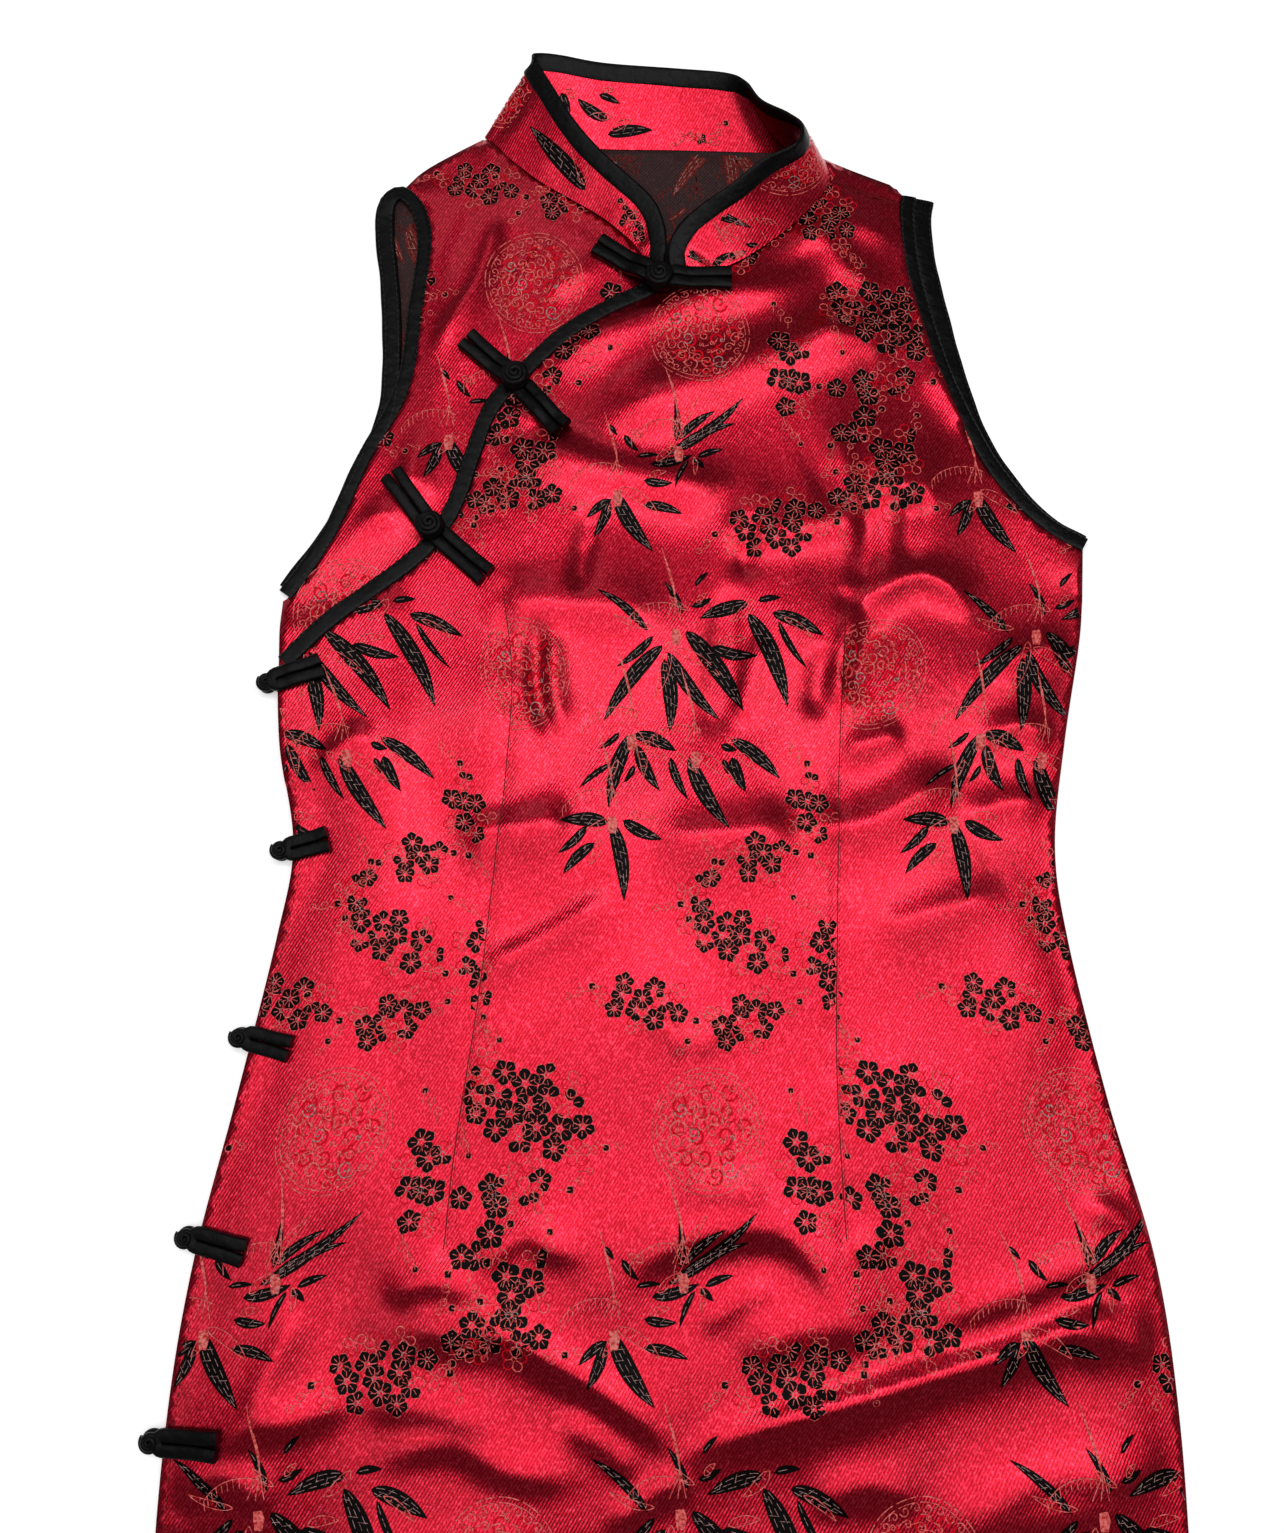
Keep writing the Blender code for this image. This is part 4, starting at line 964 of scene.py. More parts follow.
def tree_of(obj):
    """The object's faces, for finding what lies below a place."""
    mesh = obj.data
    return BVHTree.FromPolygons([v.co for v in mesh.vertices], [list(p.vertices) for p in mesh.polygons])


def top_below(trees, across, down, radius):
    """The highest point of the objects below a disc, in millimetres, or 0 where there is nothing."""
    best = 0.0
    for turn in range(9):
        reach = radius if turn else 0.0
        angle = turn * math.pi / 4
        x, y, _ = to_frame([(across + reach * math.cos(angle), down + reach * math.sin(angle), 0)])[0]
        for tree in trees:
            hit = tree.ray_cast(Vector((x, y, 1.0)), Vector((0, 0, -1)))[0]
            if hit is not None:
                best = max(best, hit.z / MM)
    return best


# The collar


def collar_frame(at):
    """At places counted in sections: the seam, the top edge and the way out of the collar's outer face."""
    def read(places):
        seam = smooth_rows([(s.seam_across, s.seam_down, s.seam_z) for s in COLLAR], places)
        top = smooth_rows([(s.top_across, s.top_down, s.top_z) for s in COLLAR], places)
        return seam, top
    seam, top = read(at)
    (seam_on, top_on), (seam_off, top_off) = read(at + 0.02), read(at - 0.02)
    way = seam_on + top_on - seam_off - top_off
    face = np.cross(way, top - seam)
    return seam, top, face / np.linalg.norm(face, axis=1)[:, None]


COLLAR_COUNT = 240
COLLAR_HALF = COLLAR_THICKNESS / 2 - 0.1
# How far the band reaches below its seam, and how much of it shows at least below its binding
BELOW_SEAM, LEAST_SHOWN = 0.4, 1.6


def collar_lines():
    """At even places along the collar: its seam and top edge, the ways out and up, and its two widths."""
    at = np.linspace(0, len(COLLAR) - 1, COLLAR_COUNT)
    seam, top, face = collar_frame(at)
    height = np.linalg.norm(top - seam, axis=1)
    up = (top - seam) / height[:, None]
    return at, seam, top, face, up, height, np.minimum(COLLAR_BINDING, height - LEAST_SHOWN)


def swell_at(place):
    """How far the middle of the band swells out, at a place counted in sections."""
    return 0.35 * np.sin(place * 2.1) + 0.25 * np.sin(place * 5.3 + 1)


def collar():
    """The collar's band, and the binding along its upper edge."""
    at, seam, top, face, up, _, band_width = collar_lines()
    low = seam - BELOW_SEAM * up
    high = top - (band_width - TUCK)[:, None] * up
    shares = np.linspace(0, 1, 9)
    rings = []
    for a, b, f, place in zip(low, high, face, at):
        swell = swell_at(place)
        outer = [a + t * (b - a) + (COLLAR_HALF + swell * math.sin(math.pi * t)) * f for t in shares]
        inner = [a + t * (b - a) - (COLLAR_HALF - swell * math.sin(math.pi * t)) * f for t in shares[::-1]]
        rings.append(outer + inner)
    band = sweep("collar_cloth", rings, SATIN)
    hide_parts("collar")
    middle = top - band_width[:, None] / 2 * up
    edge = tube("collar_edge", middle, up, band_width / 2, BINDING_THICKNESS / 2 + 0.1, BINDING)
    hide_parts("collar_binding")
    return band, edge


# What is woven into the cloth, as thin flakes of thread


BLACK, SALMON, PALE, DEEP = 0, 1, 2, 3
FLAKE_RISE = np.array([0.26, 0.34, 0.42, 0.20])


class Weave:
    """Strips of thread in the plane of the cloth, kept until they are put on a layer."""

    def __init__(self):
        self.points, self.faces, self.kinds, self.count = [], [], [], 0

    def strip(self, left, right, kind):
        size = len(left)
        self.points.append(np.vstack([left, right]))
        i = np.arange(size - 1) + self.count
        self.faces.append(np.column_stack([i, i + 1, i + size + 1, i + size]))
        self.kinds.append(np.full(size - 1, kind))
        self.count += 2 * size

    def ribbon(self, line, half, kind):
        """A strip along a line, with half its width at each point."""
        line = np.asarray(line, float)
        way = np.gradient(line, axis=0)
        way /= np.maximum(np.linalg.norm(way, axis=1), 1e-9)[:, None]
        out = np.column_stack([way[:, 1], -way[:, 0]]) * np.broadcast_to(half, len(line))[:, None]
        self.strip(line + out, line - out, kind)

    def arrays(self):
        return np.vstack(self.points), np.vstack(self.faces), np.concatenate(self.kinds)


def way_of(degrees):
    """The unit step on the cloth in a direction where 0 is to the right and 90 is towards the collar."""
    return np.array([math.cos(math.radians(degrees)), -math.sin(math.radians(degrees))])


def leaf_shape(start, way, length, width, bend):
    """The middle line of a leaf, half its width at each point, and the way across it."""
    count = max(6, int(length / 2.0))
    t = np.linspace(0, 1, count + 1)
    forward, aside = way_of(way), way_of(way + 90)
    centre = start + np.outer(t * length, forward) + np.outer(bend / 100 * length * t * (1 - t) * 4, aside)
    half = width / 2 * np.clip(2.5 * t**0.55 * (1 - t) ** 0.85, 0.03, 1)
    return centre, half, aside


def leaf(weave, start, way, length, width, bend=6.0):
    """A bamboo leaf: black, with broken light threads along it and across it."""
    centre, half, aside = leaf_shape(start, way, length, width, bend)
    sides = [centre + np.outer(half * s, aside) for s in (-1, 0, 1)]
    weave.strip(sides[0], sides[1], BLACK)
    weave.strip(sides[1], sides[2], BLACK)
    rows = 1 if width < 5 else 2 if width < 8 else 3
    for row in range(rows):
        place = ((row + 0.5) / rows * 2 - 1) * 0.8
        for i in range(1 + row % 2, len(centre) - 3, 3):
            line = centre[i: i + 3] + np.outer(half[i: i + 3] * place, aside)
            weave.ribbon(line, 0.12, PALE)
    for i in range(2, len(centre) - 3, 2):
        if width >= 5 and (i * 7 + int(length)) % 3:
            low, high = (-0.8, 0.1) if i % 4 else (-0.1, 0.8)
            ends = [centre[i] + half[i] * low * aside, centre[i + 1] + half[i] * high * aside]
            weave.ribbon(ends, 0.11, PALE)


def ghost_leaf(weave, start, way, length, width):
    """The outline of a leaf, with short cross threads, in the light colour alone."""
    centre, half, aside = leaf_shape(start, way, length, width, 6.0)
    for s in (-1, 1):
        uneven = 0.21 + 0.08 * np.sin(np.arange(len(centre)) * 1.9 + s)
        weave.ribbon(centre + np.outer(half * s, aside), uneven, SALMON)
    for i in range(2, len(centre) - 1):
        out = 0.7 * half[i] * aside
        weave.ribbon([centre[i] - out, centre[i] + out * 0.6], 0.2, DEEP if i % 2 else SALMON)


def arc(centre, radius, first, last, step=1.4):
    """Points along an arc on the cloth, between two directions in degrees."""
    count = max(3, int(abs(math.radians(last - first)) * radius / step))
    return np.array([centre + radius * way_of(a) for a in np.linspace(first, last, count)])


def flower(weave, centre, turn, size, dark=5):
    """A plum flower with five round petals, some black, and light threads in, round and between them."""
    reach = size / 2
    middle, round_by = 0.62 * reach, 0.38 * reach
    for petal in range(5):
        way = turn + 72 * petal
        forward, aside, between = way_of(way), way_of(way + 90), way_of(way + 36)
        if petal < dark:
            t = np.linspace(-0.98, 0.98, 6)
            half = round_by * np.sqrt(1 - t**2)
            line = centre + np.outer(middle + t * round_by, forward)
            weave.strip(line - np.outer(half, aside), line + np.outer(half, aside), BLACK)
            weave.ribbon([centre + 0.34 * reach * forward, centre + 0.70 * reach * forward], 0.17, SALMON)
        first, last = (-60, 60) if petal < dark else (-135, 135)
        rim = arc(centre + middle * forward, round_by, way + first, way + last, 1.5)
        weave.ribbon(rim, 0.14 if petal < dark else 0.28, SALMON if petal < dark or petal % 2 else DEEP)
        weave.ribbon([centre + 0.22 * reach * between, centre + 0.66 * reach * between], 0.2, SALMON)
    heart = PALE if dark > 2 else SALMON
    weave.ribbon(arc(centre, size * 0.09, 0, 300, 0.7), 0.2, heart)


def ring_bud(weave, centre, size=3.4, dark=False):
    """A bud on a twig: a small ring, sometimes filled."""
    if dark:
        weave.ribbon([centre - [size * 0.35, 0], centre, centre + [size * 0.35, 0]], size * 0.36, BLACK)
    weave.ribbon(arc(centre, size / 2, 0, 360, 1.1), 0.2, SALMON)


# Turning by this angle from one motif to the next spreads them evenly
GOLDEN = 137.508
FLOWER_SPACING = 0.40
# How many of a flower's five petals are black, flower by flower
DARK_PETALS = (5, 4, 5, 3, 5, 5, 2, 4)


def plum_cluster(weave, cluster):
    """Flowers packed along a twig, light ones past the dark ones, and ring buds past its ends."""
    centre = np.array([cluster.across, cluster.down], float)
    forward, aside = way_of(cluster.way), way_of(cluster.way + 90)
    light_ones = 1 + cluster.flowers // 4
    for i in range(cluster.flowers + light_ones):
        reach = FLOWER_SPACING * cluster.size * math.sqrt(i + 0.35)
        turn = math.radians(GOLDEN * i + cluster.down)
        place = centre + cluster.long * reach * math.cos(turn) * forward
        place = place + cluster.wide * reach * math.sin(turn) * aside
        dark = DARK_PETALS[(i * 3 + int(cluster.across)) % len(DARK_PETALS)] if i < cluster.flowers else 0
        smaller = 1 - 0.12 * (i > 0.6 * cluster.flowers)
        flower(weave, place, GOLDEN * i + cluster.across, cluster.size * smaller, dark)
    length = FLOWER_SPACING * cluster.size * math.sqrt(cluster.flowers + light_ones) * cluster.long
    for end in (-1, 1):
        for i in range(3):
            tip = centre + end * (length + 4 + 5.5 * i) * forward + (3.5 * i - 4) * end * aside
            weave.ribbon([tip - end * 6 * forward + aside, tip], 0.2, SALMON)
            ring_bud(weave, tip, 4.2 - 0.4 * i, dark=(i + cluster.flowers) % 3 == 0)


def curl(centre, radius, first, turns, hand):
    """A scroll that winds in towards its centre."""
    count = max(6, int(abs(turns) * 2 * math.pi * radius * 0.6 / 1.2))
    t = np.linspace(0, 1, count)
    angles = first + hand * 360 * turns * t
    reach = radius * (1 - 0.82 * t)
    return np.array([centre + r * way_of(a) for r, a in zip(reach, angles)])


# Scrolls of a medallion: along its ring, large deep red ones, and small ones that fill it
RIM_SCROLLS, DEEP_SCROLLS, FILL_SCROLLS = 26, 14, 36


def medallion(weave, centre):
    """A round place filled with small scrolls inside a double ring."""
    centre = np.array(centre, float)
    stretch = np.array([MEDALLION_WIDTH / MEDALLION_LENGTH, 1.0])
    radius = MEDALLION_LENGTH / 2

    def shaped(points):
        return centre + points * stretch

    for reach, half in ((1.0, 0.28), (0.92, 0.22)):
        for first in range(0, 360, 24):
            line = arc(np.zeros(2), reach * radius, first, first + 20)
            weave.ribbon(shaped(line), half, SALMON)
    for i in range(RIM_SCROLLS):
        way = 360 / RIM_SCROLLS * i
        place = 0.84 * radius * way_of(way)
        weave.ribbon(shaped(curl(place, 2.9, way + 90, 1.1, 1 - 2 * (i % 2))), 0.27, SALMON)
    for i in range(DEEP_SCROLLS):
        place = 0.74 * radius * math.sqrt((i + 0.5) / DEEP_SCROLLS) * way_of(GOLDEN * i + 70)
        weave.ribbon(shaped(curl(place, 5.2, GOLDEN * i, 1.2, 1 - 2 * (i % 2))), 0.6, DEEP)
    for i in range(FILL_SCROLLS):
        reach = 0.74 * radius * math.sqrt((i + 0.5) / FILL_SCROLLS)
        place = reach * way_of(GOLDEN * i)
        size = 3.6 + 1.8 * math.sin(i * 2.3)
        kind = PALE if i % 9 == 4 else SALMON
        weave.ribbon(shaped(curl(place, size, GOLDEN * i + 40, 1.3, 1 - 2 * (i % 2))), 0.3, kind)
        tail = place + size * way_of(GOLDEN * i + 40)
        weave.ribbon(shaped(np.array([tail, tail + 3.6 * way_of(GOLDEN * i + 100)])), 0.28, SALMON)


def woven_repeat():
    """One repeat of the brocade."""
    weave = Weave()
    for plant in BAMBOO:
        root = np.array([plant.across, plant.down], float)
        for i, row in enumerate(plant.leaves):
            start = root + [row.across, row.down]
            leaf(weave, start, row.way, row.length, row.width, 5 if i % 2 else -5)
            if i % 2 == 0:
                ghost_leaf(weave, start + [3, -2], row.way + 24, 0.62 * row.length, 0.5 * row.width + 1)
        for i in range(3):
            stem = root + [4 * i - 4, -6]
            bent = smooth([stem, stem + [5 - 4 * i, -14], stem + [2 - 6 * i, -30 - 6 * i]], 2.5)
            weave.ribbon(bent, 0.24, SALMON)
        dome = arc(root + [-6, 6], 22, 150, 60)
        weave.ribbon(dome, 0.22, SALMON)
        for p in dome[::2]:
            weave.ribbon([p, p + [0.5, 4.5]], 0.2, SALMON)
        knob = root + [1, -1]
        weave.ribbon([knob, knob + [0.6, 4], knob + [0.4, 9]], [2.0, 2.7, 1.8], SALMON)
    for cluster in PLUM:
        plum_cluster(weave, cluster)
    for place in MEDALLIONS:
        medallion(weave, place)
    return weave.arrays()


class Surface:
    """The upper face of a layer, read from a raster of its height."""

    def __init__(self, height, outline, step=2.0):
        self.low, self.step = outline.min(0) - 6, step
        count = np.ceil((outline.max(0) + 6 - self.low) / step).astype(int) + 1
        across, down = np.meshgrid(*(self.low[i] + step * np.arange(count[i]) for i in (0, 1)))
        self.heights = height(across.ravel(), down.ravel()).reshape(across.shape)

    def at(self, across, down):
        x, y = (across - self.low[0]) / self.step, (down - self.low[1]) / self.step
        rows, columns = self.heights.shape
        i = np.clip(x.astype(int), 0, columns - 2)
        j = np.clip(y.astype(int), 0, rows - 2)
        s, t = np.clip(x - i, 0, 1), np.clip(y - j, 0, 1)
        h = self.heights
        return ((1 - s) * (1 - t) * h[j, i] + s * (1 - t) * h[j, i + 1]
                + (1 - s) * t * h[j + 1, i] + s * t * h[j + 1, i + 1])


def past_darts(points):
    """Moves places on the cloth to where they are once the darts are sewn, and says which ones still show."""
    across, down = points[:, 0], points[:, 1]
    intake = np.interp(down, [row.down for row in DART_INTAKE], [row.cloth for row in DART_INTAKE])
    left, right = side_at(LEFT_DART_LINE, down), side_at(RIGHT_DART_LINE, down)
    beyond_right, beyond_left = across > right + intake, across < left - intake
    moved = across - intake * beyond_right + intake * beyond_left
    hidden = ((across > right) & ~beyond_right) | ((across < left) & ~beyond_left)
    return np.column_stack([moved, down]), ~hidden


def tiled(repeat, columns, rows, shift):
    """Copies of the repeat in the given columns and rows, moved by the shift."""
    tile_points, tile_faces, tile_kinds = repeat
    moves = [[i * REPEAT_ACROSS + shift[0], j * REPEAT_DOWN + shift[1]] for i in columns for j in rows]
    points = np.vstack([tile_points + move for move in moves])
    faces = np.vstack([tile_faces + k * len(tile_points) for k in range(len(moves))])
    return points, faces, np.tile(tile_kinds, len(moves))


# How far a repeat's motifs and shift may reach past the repeat
REACH_ACROSS, REACH_UP, REACH_DOWN = 170, 40, 640
# The longest flake that is kept, since one that lies over a dart is stretched
LONGEST_FLAKE = 12
# How clear of a panel's edge its pattern stays
EDGE_CLEAR = 0.6


def woven(name, repeat, outline, place, shift=(0, 0), darts=False, keep_within=0.0, made_of=None):
    """The brocade's pattern over the whole of a panel."""
    low, high = outline.min(0), outline.max(0)
    columns = range(math.floor((low[0] - REACH_ACROSS) / REPEAT_ACROSS),
                    math.ceil((high[0] + REACH_ACROSS) / REPEAT_ACROSS))
    rows = range(math.floor((low[1] - REACH_DOWN) / REPEAT_DOWN),
                 math.ceil((high[1] + REACH_UP) / REPEAT_DOWN))
    points, faces, kinds = tiled(repeat, columns, rows, shift)
    shown = np.ones(len(points), bool)
    if darts:
        points, shown = past_darts(points)
    near = (points > low).all(1) & (points < high).all(1) & shown
    index = np.flatnonzero(near)
    near[index] = inside(outline, points[index, 0], points[index, 1])
    if keep_within:
        index = np.flatnonzero(near)
        ring = np.vstack([outline, outline[:1]])
        near[index] = distance_to(ring, points[index, 0], points[index, 1]) > keep_within
    chosen = near[faces].all(1) & (np.ptp(points[faces][:, :, 0], axis=1) < LONGEST_FLAKE)
    return flakes(name, points, faces[chosen], kinds[chosen], place, made_of)


def flakes(name, points, faces, kinds, place, made_of=None):
    """The chosen strips as one mesh, each kind of thread a little above the cloth's face."""
    used, index = np.unique(faces, return_inverse=True)
    faces = index.reshape(faces.shape)
    rise = np.zeros(len(used))
    rise[faces.ravel()] = np.repeat(FLAKE_RISE[kinds], 4)
    solid, out = place(points[used], rise)
    a, b, c = (solid[faces[:, i]] for i in (0, 1, 2))
    turned = (np.cross(b - a, c - a) * out[faces[:, 0]]).sum(1) > 0
    faces[turned] = faces[turned][:, ::-1]
    obj = add_object(name, solid, faces, made_of or SILKS, kinds=kinds)
    return obj


def level(points, height, out=1.0):
    """Flat places at a height, and the way out there: up, or down if out is -1."""
    return np.column_stack([points, height]), np.tile([0.0, 0.0, out], (len(points), 1))


def on_surface(surface):
    """Puts flat places just above a layer."""
    return lambda points, rise: level(points, surface.at(points[:, 0], points[:, 1]) + rise)


def below_back(points, rise):
    """Puts flat places just below the back panel."""
    return level(points, lift(points[:, 0], points[:, 1], BACK_REACH) + 0.2 * CLOTH - 0.5 * rise, -1.0)


def collar_chart(chart):
    """The motifs that are placed on one face of the collar."""
    weave = Weave()
    for row in chart.leaves:
        start = np.array([row.across, row.down], float)
        leaf(weave, start, row.way, row.length, row.width, 4)
        ghost_leaf(weave, start + [2, -2], row.way + 24, 0.5 * row.length, 0.5 * row.width + 1)
    for cluster in chart.clusters:
        plum_cluster(weave, cluster)
    return weave.arrays()


def collar_pattern(name, repeat, outer, shift, chart):
    """The brocade's pattern on the outer or the inner face of the collar's band."""
    at, seam, top, face, up, height, band_width = collar_lines()
    run = run_along((seam + top) / 2)
    high = height - band_width + 0.6
    side_sign = 1 if outer else -1

    def row_of(values, index):
        i = np.clip(index.astype(int), 0, COLLAR_COUNT - 2)
        t = (index - i).reshape(-1, *[1] * (values.ndim - 1))
        return (1 - t) * values[i] + t * values[i + 1]

    def place(points, rise):
        index = np.interp(points[:, 0], run, np.arange(COLLAR_COUNT))
        station = row_of(at, index)
        share = np.clip((points[:, 1] + BELOW_SEAM) / (row_of(high, index) + BELOW_SEAM), 0, 1)
        half = COLLAR_HALF + side_sign * swell_at(station) * np.sin(math.pi * share)
        out = side_sign * row_of(face, index)
        solid = row_of(seam, index) + points[:, 1:] * row_of(up, index) + (half + rise + 0.15)[:, None] * out
        return solid, out

    points, faces, kinds = tiled(repeat, range(-2, 4), range(1), (shift[0], -shift[1]))
    count = len(points)
    own_points, own_faces, own_kinds = collar_chart(chart)
    points, faces = np.vstack([points, own_points]) * [1, -1], np.vstack([faces, own_faces + count])
    kinds = np.concatenate([kinds, own_kinds])
    across, above = points.T
    near = (np.arange(len(points)) >= count) | (across < chart.first) | (across > chart.last)
    near &= (across > 1) & (across < run[-1] - 1) & (above > 0.6)
    near &= above < np.interp(across, run, high) - 1.0
    return flakes(name, points, faces[near[faces].all(1)], kinds[near[faces].all(1)], place)


# Sewing


Stitch = namedtuple("Stitch", "length gap half")
DART_STITCH, SHOULDER_STITCH = Stitch(2.2, 1.4, 0.13), Stitch(1.8, 1.6, 0.16)
HEM_STITCH, BINDING_STITCH = Stitch(2.4, 1.8, 0.15), Stitch(2.0, 1.5, 0.13)
# How far the stitches lie from the side opening's edge, from the slit's edge and from the hem
SIDE_TURNED, SLIT_TURNED, HEM_TURNED = 4.2, 7.0, 22.0
# The kinds of a piece of sewing: its seam or its only thread, and its second thread
FIRST, SECOND = 0, 1


def dashes(weave, line, stitch, kind):
    """A row of stitches along a line."""
    length, gap, half = stitch
    run = run_along(line)
    for start in np.arange(0, run[-1] - length, length + gap):
        at = [start, start + length / 2, start + length]
        weave.ribbon(np.column_stack([np.interp(at, run, line[:, k]) for k in (0, 1)]), half, kind)


def front_sewing(surface):
    """The seams of the darts and the shoulder, and the stitches along the side, the slits and the hem."""
    weave = Weave()
    for dart in (LEFT_DART, RIGHT_DART):
        weave.ribbon(smooth(dart, 2), 0.3, FIRST)
        dashes(weave, offset(smooth(dart, 2), 1.1), DART_STITCH, SECOND)
    weave.ribbon(smooth(SHOULDER_SEAM, 2), 0.35, FIRST)
    for away in (-1.6, 1.6):
        dashes(weave, offset(smooth(SHOULDER_SEAM, 2), away), SHOULDER_STITCH, SECOND)
    left, right = side("left", SLIT_DRAWN_IN, 2), side("right", SLIT_DRAWN_IN, 2)
    dashes(weave, offset(left[left[:, 1] > 300], SIDE_TURNED), HEM_STITCH, SECOND)
    dashes(weave, offset(right[right[:, 1] > SLIT_DOWN - 20], -SLIT_TURNED), HEM_STITCH, SECOND)
    across = np.arange(-225, 220, 2.0)
    hem = np.column_stack([across, np.full(len(across), HEM_DOWN - HEM_TURNED)])
    dashes(weave, hem, HEM_STITCH, SECOND)
    points, faces, kinds = weave.arrays()
    return flakes("front_main_stitches", points, faces, kinds, on_surface(surface), [DEEP_RED, REVERSE_RED])


def edge_stitches(name, line, height, width):
    """The row of stitches that holds a binding, along each of its edges."""
    weave = Weave()
    for away in (-0.37, 0.37):
        dashes(weave, offset(line, away * width), BINDING_STITCH, FIRST)
    points, faces, kinds = weave.arrays()
    height = np.broadcast_to(height, len(line)).astype(float)

    def place(flat, rise):
        near = np.array([np.argmin(((line - p) ** 2).sum(1)) for p in flat])
        return level(flat, height[near] + BINDING_THICKNESS / 2 * 0.93 + 0.3 * rise)

    return flakes(name, points, faces, kinds, place, [BLACK_THREAD])


# Fastenings


def hairpin(start, end, heights, spread_out):
    """The middle line of a cord that runs from the far end to the knot, turns and runs back."""
    start, end = np.array(start, float), np.array(end, float)
    length = np.linalg.norm(end - start)
    way = (end - start) / length
    right = np.array([-way[1], way[0]])
    apart = CORD_HALF_WIDTH + 0.05
    t = np.linspace(1, 0, 14)
    splay = apart + spread_out * np.clip((t - 0.55) / 0.45, 0, 1) ** 2
    inward = start + apart * way
    out_run = np.array([inward + (end - inward) * x for x in t])
    legs = [out_run - np.outer(splay, right), (out_run + np.outer(splay, right))[::-1]]
    turn = [inward - apart * math.sin(a) * way - apart * math.cos(a) * right
            for a in np.linspace(0, math.pi, 9)[1:-1]]
    flat = np.vstack([legs[0], turn, legs[1]])
    share = np.clip((flat - start) @ way / length, 0, 1)
    return np.column_stack([flat, np.interp(share, np.linspace(0, 1, len(heights)), heights)])


def strap(name, start, end, heights, half_height=CORD_HALF_HEIGHT, spread_out=0.5):
    path = hairpin(start, end, heights, spread_out)
    wide = np.cross(np.gradient(path, axis=0), [0, 0, 1])
    obj = tube(name + "_cord", path, wide, CORD_HALF_WIDTH, half_height, CORD, sides=16, square=0.55)
    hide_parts(name)


COIL_TURNS = 2.6


def coil(across, down, height, radius, squash):
    """A spiral that covers a dome from its top to its foot."""
    t = np.linspace(0, 1, int(COIL_TURNS * 22))
    reach = radius * (0.10 + 0.72 * t**0.85)
    angle = 2 * math.pi * COIL_TURNS * t
    rise = squash * np.sqrt(np.maximum(radius**2 - reach**2, 0))
    return np.column_stack([
        across + reach * np.cos(angle), down + reach * np.sin(angle), height + rise - 1.2
    ])


def knot(name, across, down, height, radius, squash):
    """A ball knot: a round core wound with a spiral of cord, and a lower turn round its foot."""
    path = coil(across, down, height, radius, squash)
    wide = np.cross(np.gradient(path, axis=0), [across, down, height - 2 * radius] - path)
    thick = radius * 0.27
    spiral = tube(name + "_cord", path, wide, thick, thick * 0.95, CORD, sides=10, square=1.0)
    turn = np.linspace(0, 2 * math.pi, 32, endpoint=False)
    foot = np.column_stack([
        across + 0.66 * radius * np.cos(turn), down + 0.66 * radius * np.sin(turn),
        height - 0.42 * squash * radius + 0.5 * np.sin(2 * turn),
    ])
    outward = foot - [across, down, 0]
    outward[:, 2] = 0
    ring = tube(name + "_foot", foot, outward, radius * 0.33, radius * 0.33, CORD, closed=True, sides=10,
                square=1.0)
    work = bmesh.new()
    bmesh.ops.create_icosphere(work, subdivisions=3, radius=0.72 * radius)
    core_points = [(across + v.co.x, down + v.co.y, height + v.co.z * squash) for v in work.verts]
    core_faces = [[v.index for v in f.verts] for f in work.faces]
    work.free()
    core = add_object(name + "_core", core_points, core_faces, [CORD], closed=True)
    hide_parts(name)


# How far a strap sags between the higher places beside it
STRAP_SAG = 2.4


def resting_heights(trees, start, end, count=9):
    """Heights for the middle of a strap that rests just above what lies below it."""
    start, end = np.array(start, float), np.array(end, float)
    found = []
    for t in np.linspace(0, 1, count):
        p = start + t * (end - start)
        found.append(top_below(trees, p[0], p[1], 2 * CORD_HALF_WIDTH) + CORD_HALF_HEIGHT * 0.85)
    around = [max(found[max(0, i - 1): i + 2]) for i in range(count)]
    return [max(h, s - STRAP_SAG) for h, s in zip(found, around)]


# How flat the knots of the front are pressed, and where a strap starts, as shares of a knot's radius
KNOT_SQUASH = 0.75
FRONT_STRAP_START, SIDE_STRAP_START = 0.55, 0.6


def front_fastenings(trees):
    for frog in FRONT_FROGS:
        centre = np.array([frog.across, frog.down], float)
        height = top_below(trees, *centre, KNOT_RADIUS * 0.8) + SEAM_GAP + KNOT_RADIUS * KNOT_SQUASH
        knot(f"frog_{frog.name}_knot", *centre, height, KNOT_RADIUS, KNOT_SQUASH)
        for which in ("left", "right"):
            end = np.array([getattr(frog, f"{which}_across"), getattr(frog, f"{which}_down")], float)
            way = (end - centre) / np.linalg.norm(end - centre)
            start = centre + KNOT_RADIUS * FRONT_STRAP_START * way
            strap(f"frog_{frog.name}_{which}", start, end, resting_heights(trees, start, end))


def side_fastenings(trees):
    """Each joins the front to the back at the side opening, with its knot just past the edge."""
    for frog in SIDE_FROGS:
        edge = float(side_at(LEFT_SIDE, frog.down))
        centre = np.array([edge - SIDE_KNOT_RADIUS - 0.6, frog.down])
        height = SIDE_KNOT_RADIUS + 0.4
        knot(f"frog_{frog.name}_knot", *centre, height, SIDE_KNOT_RADIUS, 1.0)
        start = centre + [SIDE_KNOT_RADIUS * SIDE_STRAP_START, 0]
        end = (frog.end_across, frog.end_down)
        strap(f"frog_{frog.name}_front", start, end, resting_heights(trees, start, end))
        strap(f"frog_{frog.name}_back", start + [3, 0], start + [BACK_STRAP, 0], [1.2, 1.2], 1.2, 0.0)


# The whole dress


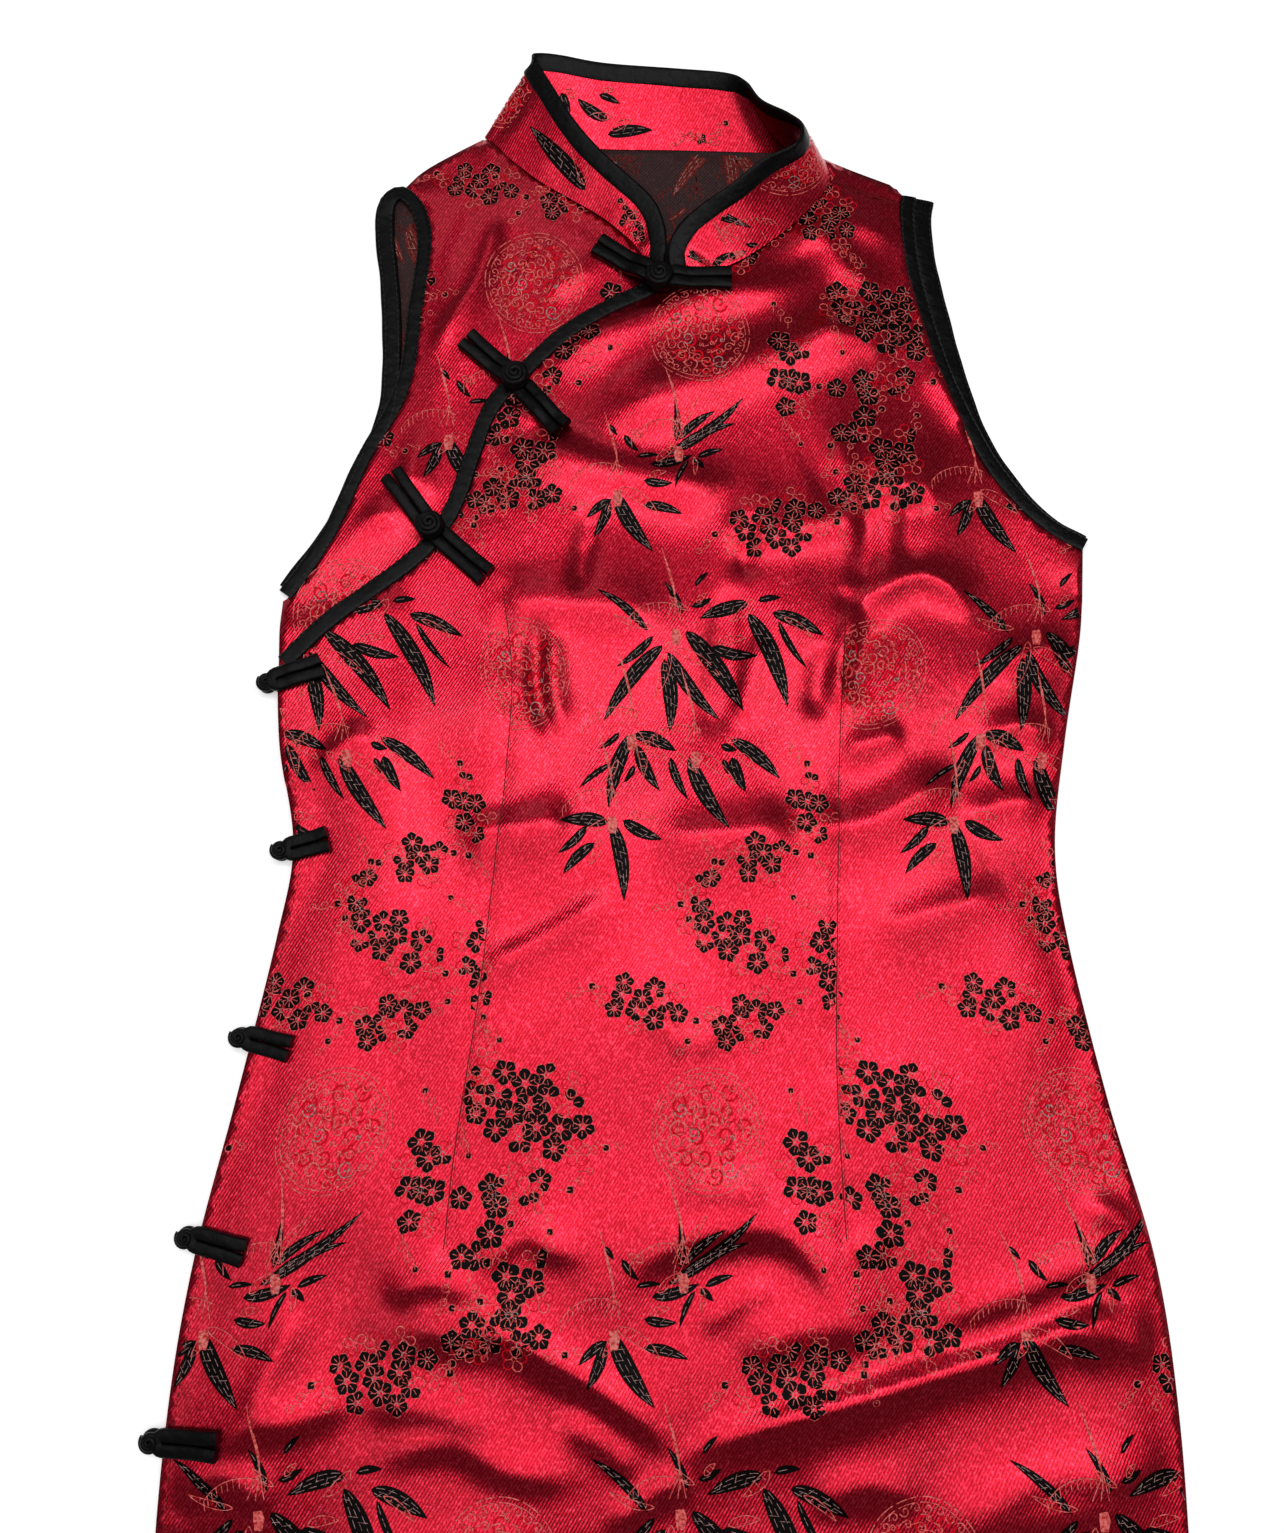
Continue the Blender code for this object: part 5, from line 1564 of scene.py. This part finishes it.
def dress():
    outline = {"back": back_outline(), "under": under_outline(), "main": main_outline()}
    # The back's upper face, seen past the neck and armhole, wears the wrong side painted dark as shade
    back = panel("back_cloth", outline["back"], back_top, SHADED_WRONG_SIDE, SATIN, 8, 16)
    under = panel("front_under_cloth", outline["under"], under_top, SATIN, SHADED_WRONG_SIDE)
    main = panel("front_main_cloth", outline["main"], main_top, SATIN, SHADED_WRONG_SIDE)
    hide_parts("back")
    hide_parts("front_under")
    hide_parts("front_main")
    band, edge = collar()

    low = BINDING_THICKNESS / 2
    high = ARMHOLE_HEIGHT + CLOTH / 2
    front, back_part = smooth(LEFT_FRONT_ARMHOLE, 4), smooth(LEFT_BACK_ARMHOLE, 4)
    line = smooth([*LEFT_FRONT_ARMHOLE, *LEFT_BACK_ARMHOLE], 4)
    over = ease((np.arange(len(line)) - len(front) + 3) / (len(line) - len(back_part) - len(front) + 8))
    width = FRONT_BINDING + over * (BACK_BINDING - FRONT_BINDING)
    left, left_sewn = level_binding("armhole_left_edge", line, high + over * (low - high), width)
    right_front, front_sewn = level_binding(
        "armhole_right_front_edge", smooth(RIGHT_FRONT_ARMHOLE, 4), high, FRONT_BINDING)
    right_back, back_sewn = level_binding(
        "armhole_right_back_edge", smooth(RIGHT_BACK_ARMHOLE, 4), low, BACK_BINDING)
    opening = smooth(OPENING, 4)
    lifted = lift(opening[:, 0], opening[:, 1], MAIN_REACH)
    bound, bound_sewn = level_binding(
        "opening_edge", opening, MAIN_OVER_UNDER + low + lifted, OPENING_BINDING)
    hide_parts("armhole_left")
    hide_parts("armhole_right_front")
    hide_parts("armhole_right_back")
    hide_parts("opening_binding")

    trees = [tree_of(o) for o in (back, under, main, bound, band, edge)]
    front_fastenings(trees)
    side_fastenings(trees)

    repeat = woven_repeat()
    surface = Surface(main_top, outline["main"])
    main_woven = woven("front_main_pattern", repeat, outline["main"], on_surface(surface), darts=True,
                       keep_within=EDGE_CLEAR)
    main_sewn = front_sewing(surface)
    under_surface = on_surface(Surface(under_top, outline["under"]))
    under_woven = woven("front_under_pattern", repeat, outline["under"], under_surface, UNDER_SHIFT,
                        keep_within=EDGE_CLEAR)
    back_woven = woven("back_pattern", repeat, outline["back"], below_back, BACK_SHIFT,
                       keep_within=EDGE_CLEAR)
    inside_places = on_surface(Surface(back_top, outline["back"]))
    # The reverse pattern inside the neck and armhole is darkened with the wrong side, as painted shade
    reverse = [
        woven(f"back_reverse_{name}", repeat, np.array(shape, float), inside_places, BACK_SHIFT,
              made_of=[REVERSE_RED, REVERSE_RED, PALE_SILK, REVERSE_RED])
        for name, shape in REVERSE_SHOWN.items()
    ]
    outer = collar_pattern("collar_outer_pattern", repeat, True, COLLAR_OUTER_SHIFT, COLLAR_OUTER_CHART)
    inner = collar_pattern("collar_inner_pattern", repeat, False, COLLAR_INNER_SHIFT, COLLAR_INNER_CHART)


# The room


def stage():
    made = finish("floor_paper", {"Base Color": (0.96, 0.96, 0.96, 1), "Roughness": 0.95,
                                  "Emission Color": (1, 1, 1, 1), "Emission Strength": 0.42})
    mesh = bpy.data.meshes.new("floor")
    half, below = 6.0, -0.0002
    mesh.from_pydata([(-half, -half, below), (half, -half, below), (half, half, below), (-half, half, below)],
                     [], [(0, 1, 2, 3)])
    mesh.materials.append(made)
    floor = bpy.data.objects.new("floor", mesh)
    bpy.context.scene.collection.objects.link(floor)


Light = namedtuple("Light", "name place aim size watts")
LIGHTS = [
    Light("softbox", (0.0, 0.12, 2.0), (0.0, 0.12, 0.0), (2.8, 1.55), 21.5),
    Light("bright strip", (0.1, 0.70, 1.9), (0.0, 0.30, 0.0), (1.7, 0.32), 7),
    Light("shoulder strip", (-0.27, 1.4, 1.2), (-0.11, 0.57, 0.0), (0.3, 0.45), 0.9),
]


def area_light(name, place, aim, size, watts):
    data = bpy.data.lights.new(name, "AREA")
    data.shape = "RECTANGLE"
    data.size, data.size_y = size
    data.energy = watts
    light = bpy.data.objects.new(name, data)
    light.location = place
    light.rotation_mode = "QUATERNION"
    light.rotation_quaternion = (Vector(aim) - Vector(place)).to_track_quat("-Z", "Y")
    bpy.context.scene.collection.objects.link(light)


def lights():
    world = bpy.data.worlds.new("room")
    world.use_nodes = True
    world.node_tree.nodes["Background"].inputs["Color"].default_value = (1, 1, 1, 1)
    world.node_tree.nodes["Background"].inputs["Strength"].default_value = 0.16
    bpy.context.scene.world = world
    for row in LIGHTS:
        area_light(*row)


IMAGE_WIDTH, IMAGE_HEIGHT = 1284, 1533
FOCAL_PIXELS = 1350.0
CAMERA_TILT = math.radians(12)
CAMERA_ACROSS, CAMERA_DOWN, CAMERA_HEIGHT = -17.0, 492.0, 707.0


def camera():
    """Above the dress, a little towards the hem, looking down and towards the collar."""
    data = bpy.data.cameras.new("camera")
    data.sensor_width = 36
    data.lens = FOCAL_PIXELS / max(IMAGE_WIDTH, IMAGE_HEIGHT) * data.sensor_width
    data.clip_start, data.clip_end = 0.01, 50
    forward = Vector((0, math.sin(CAMERA_TILT), -math.cos(CAMERA_TILT)))
    up = Vector((0, math.cos(CAMERA_TILT), math.sin(CAMERA_TILT)))
    matrix = Matrix((forward.cross(up), up, -forward)).transposed().to_4x4()
    matrix.translation = Vector(to_frame([(CAMERA_ACROSS, CAMERA_DOWN, CAMERA_HEIGHT)])[0])
    made = bpy.data.objects.new("camera", data)
    made.matrix_world = matrix
    bpy.context.scene.collection.objects.link(made)
    bpy.context.scene.camera = made


dress()
stage()
lights()
camera()
bpy.context.scene.view_settings.view_transform = "Standard"
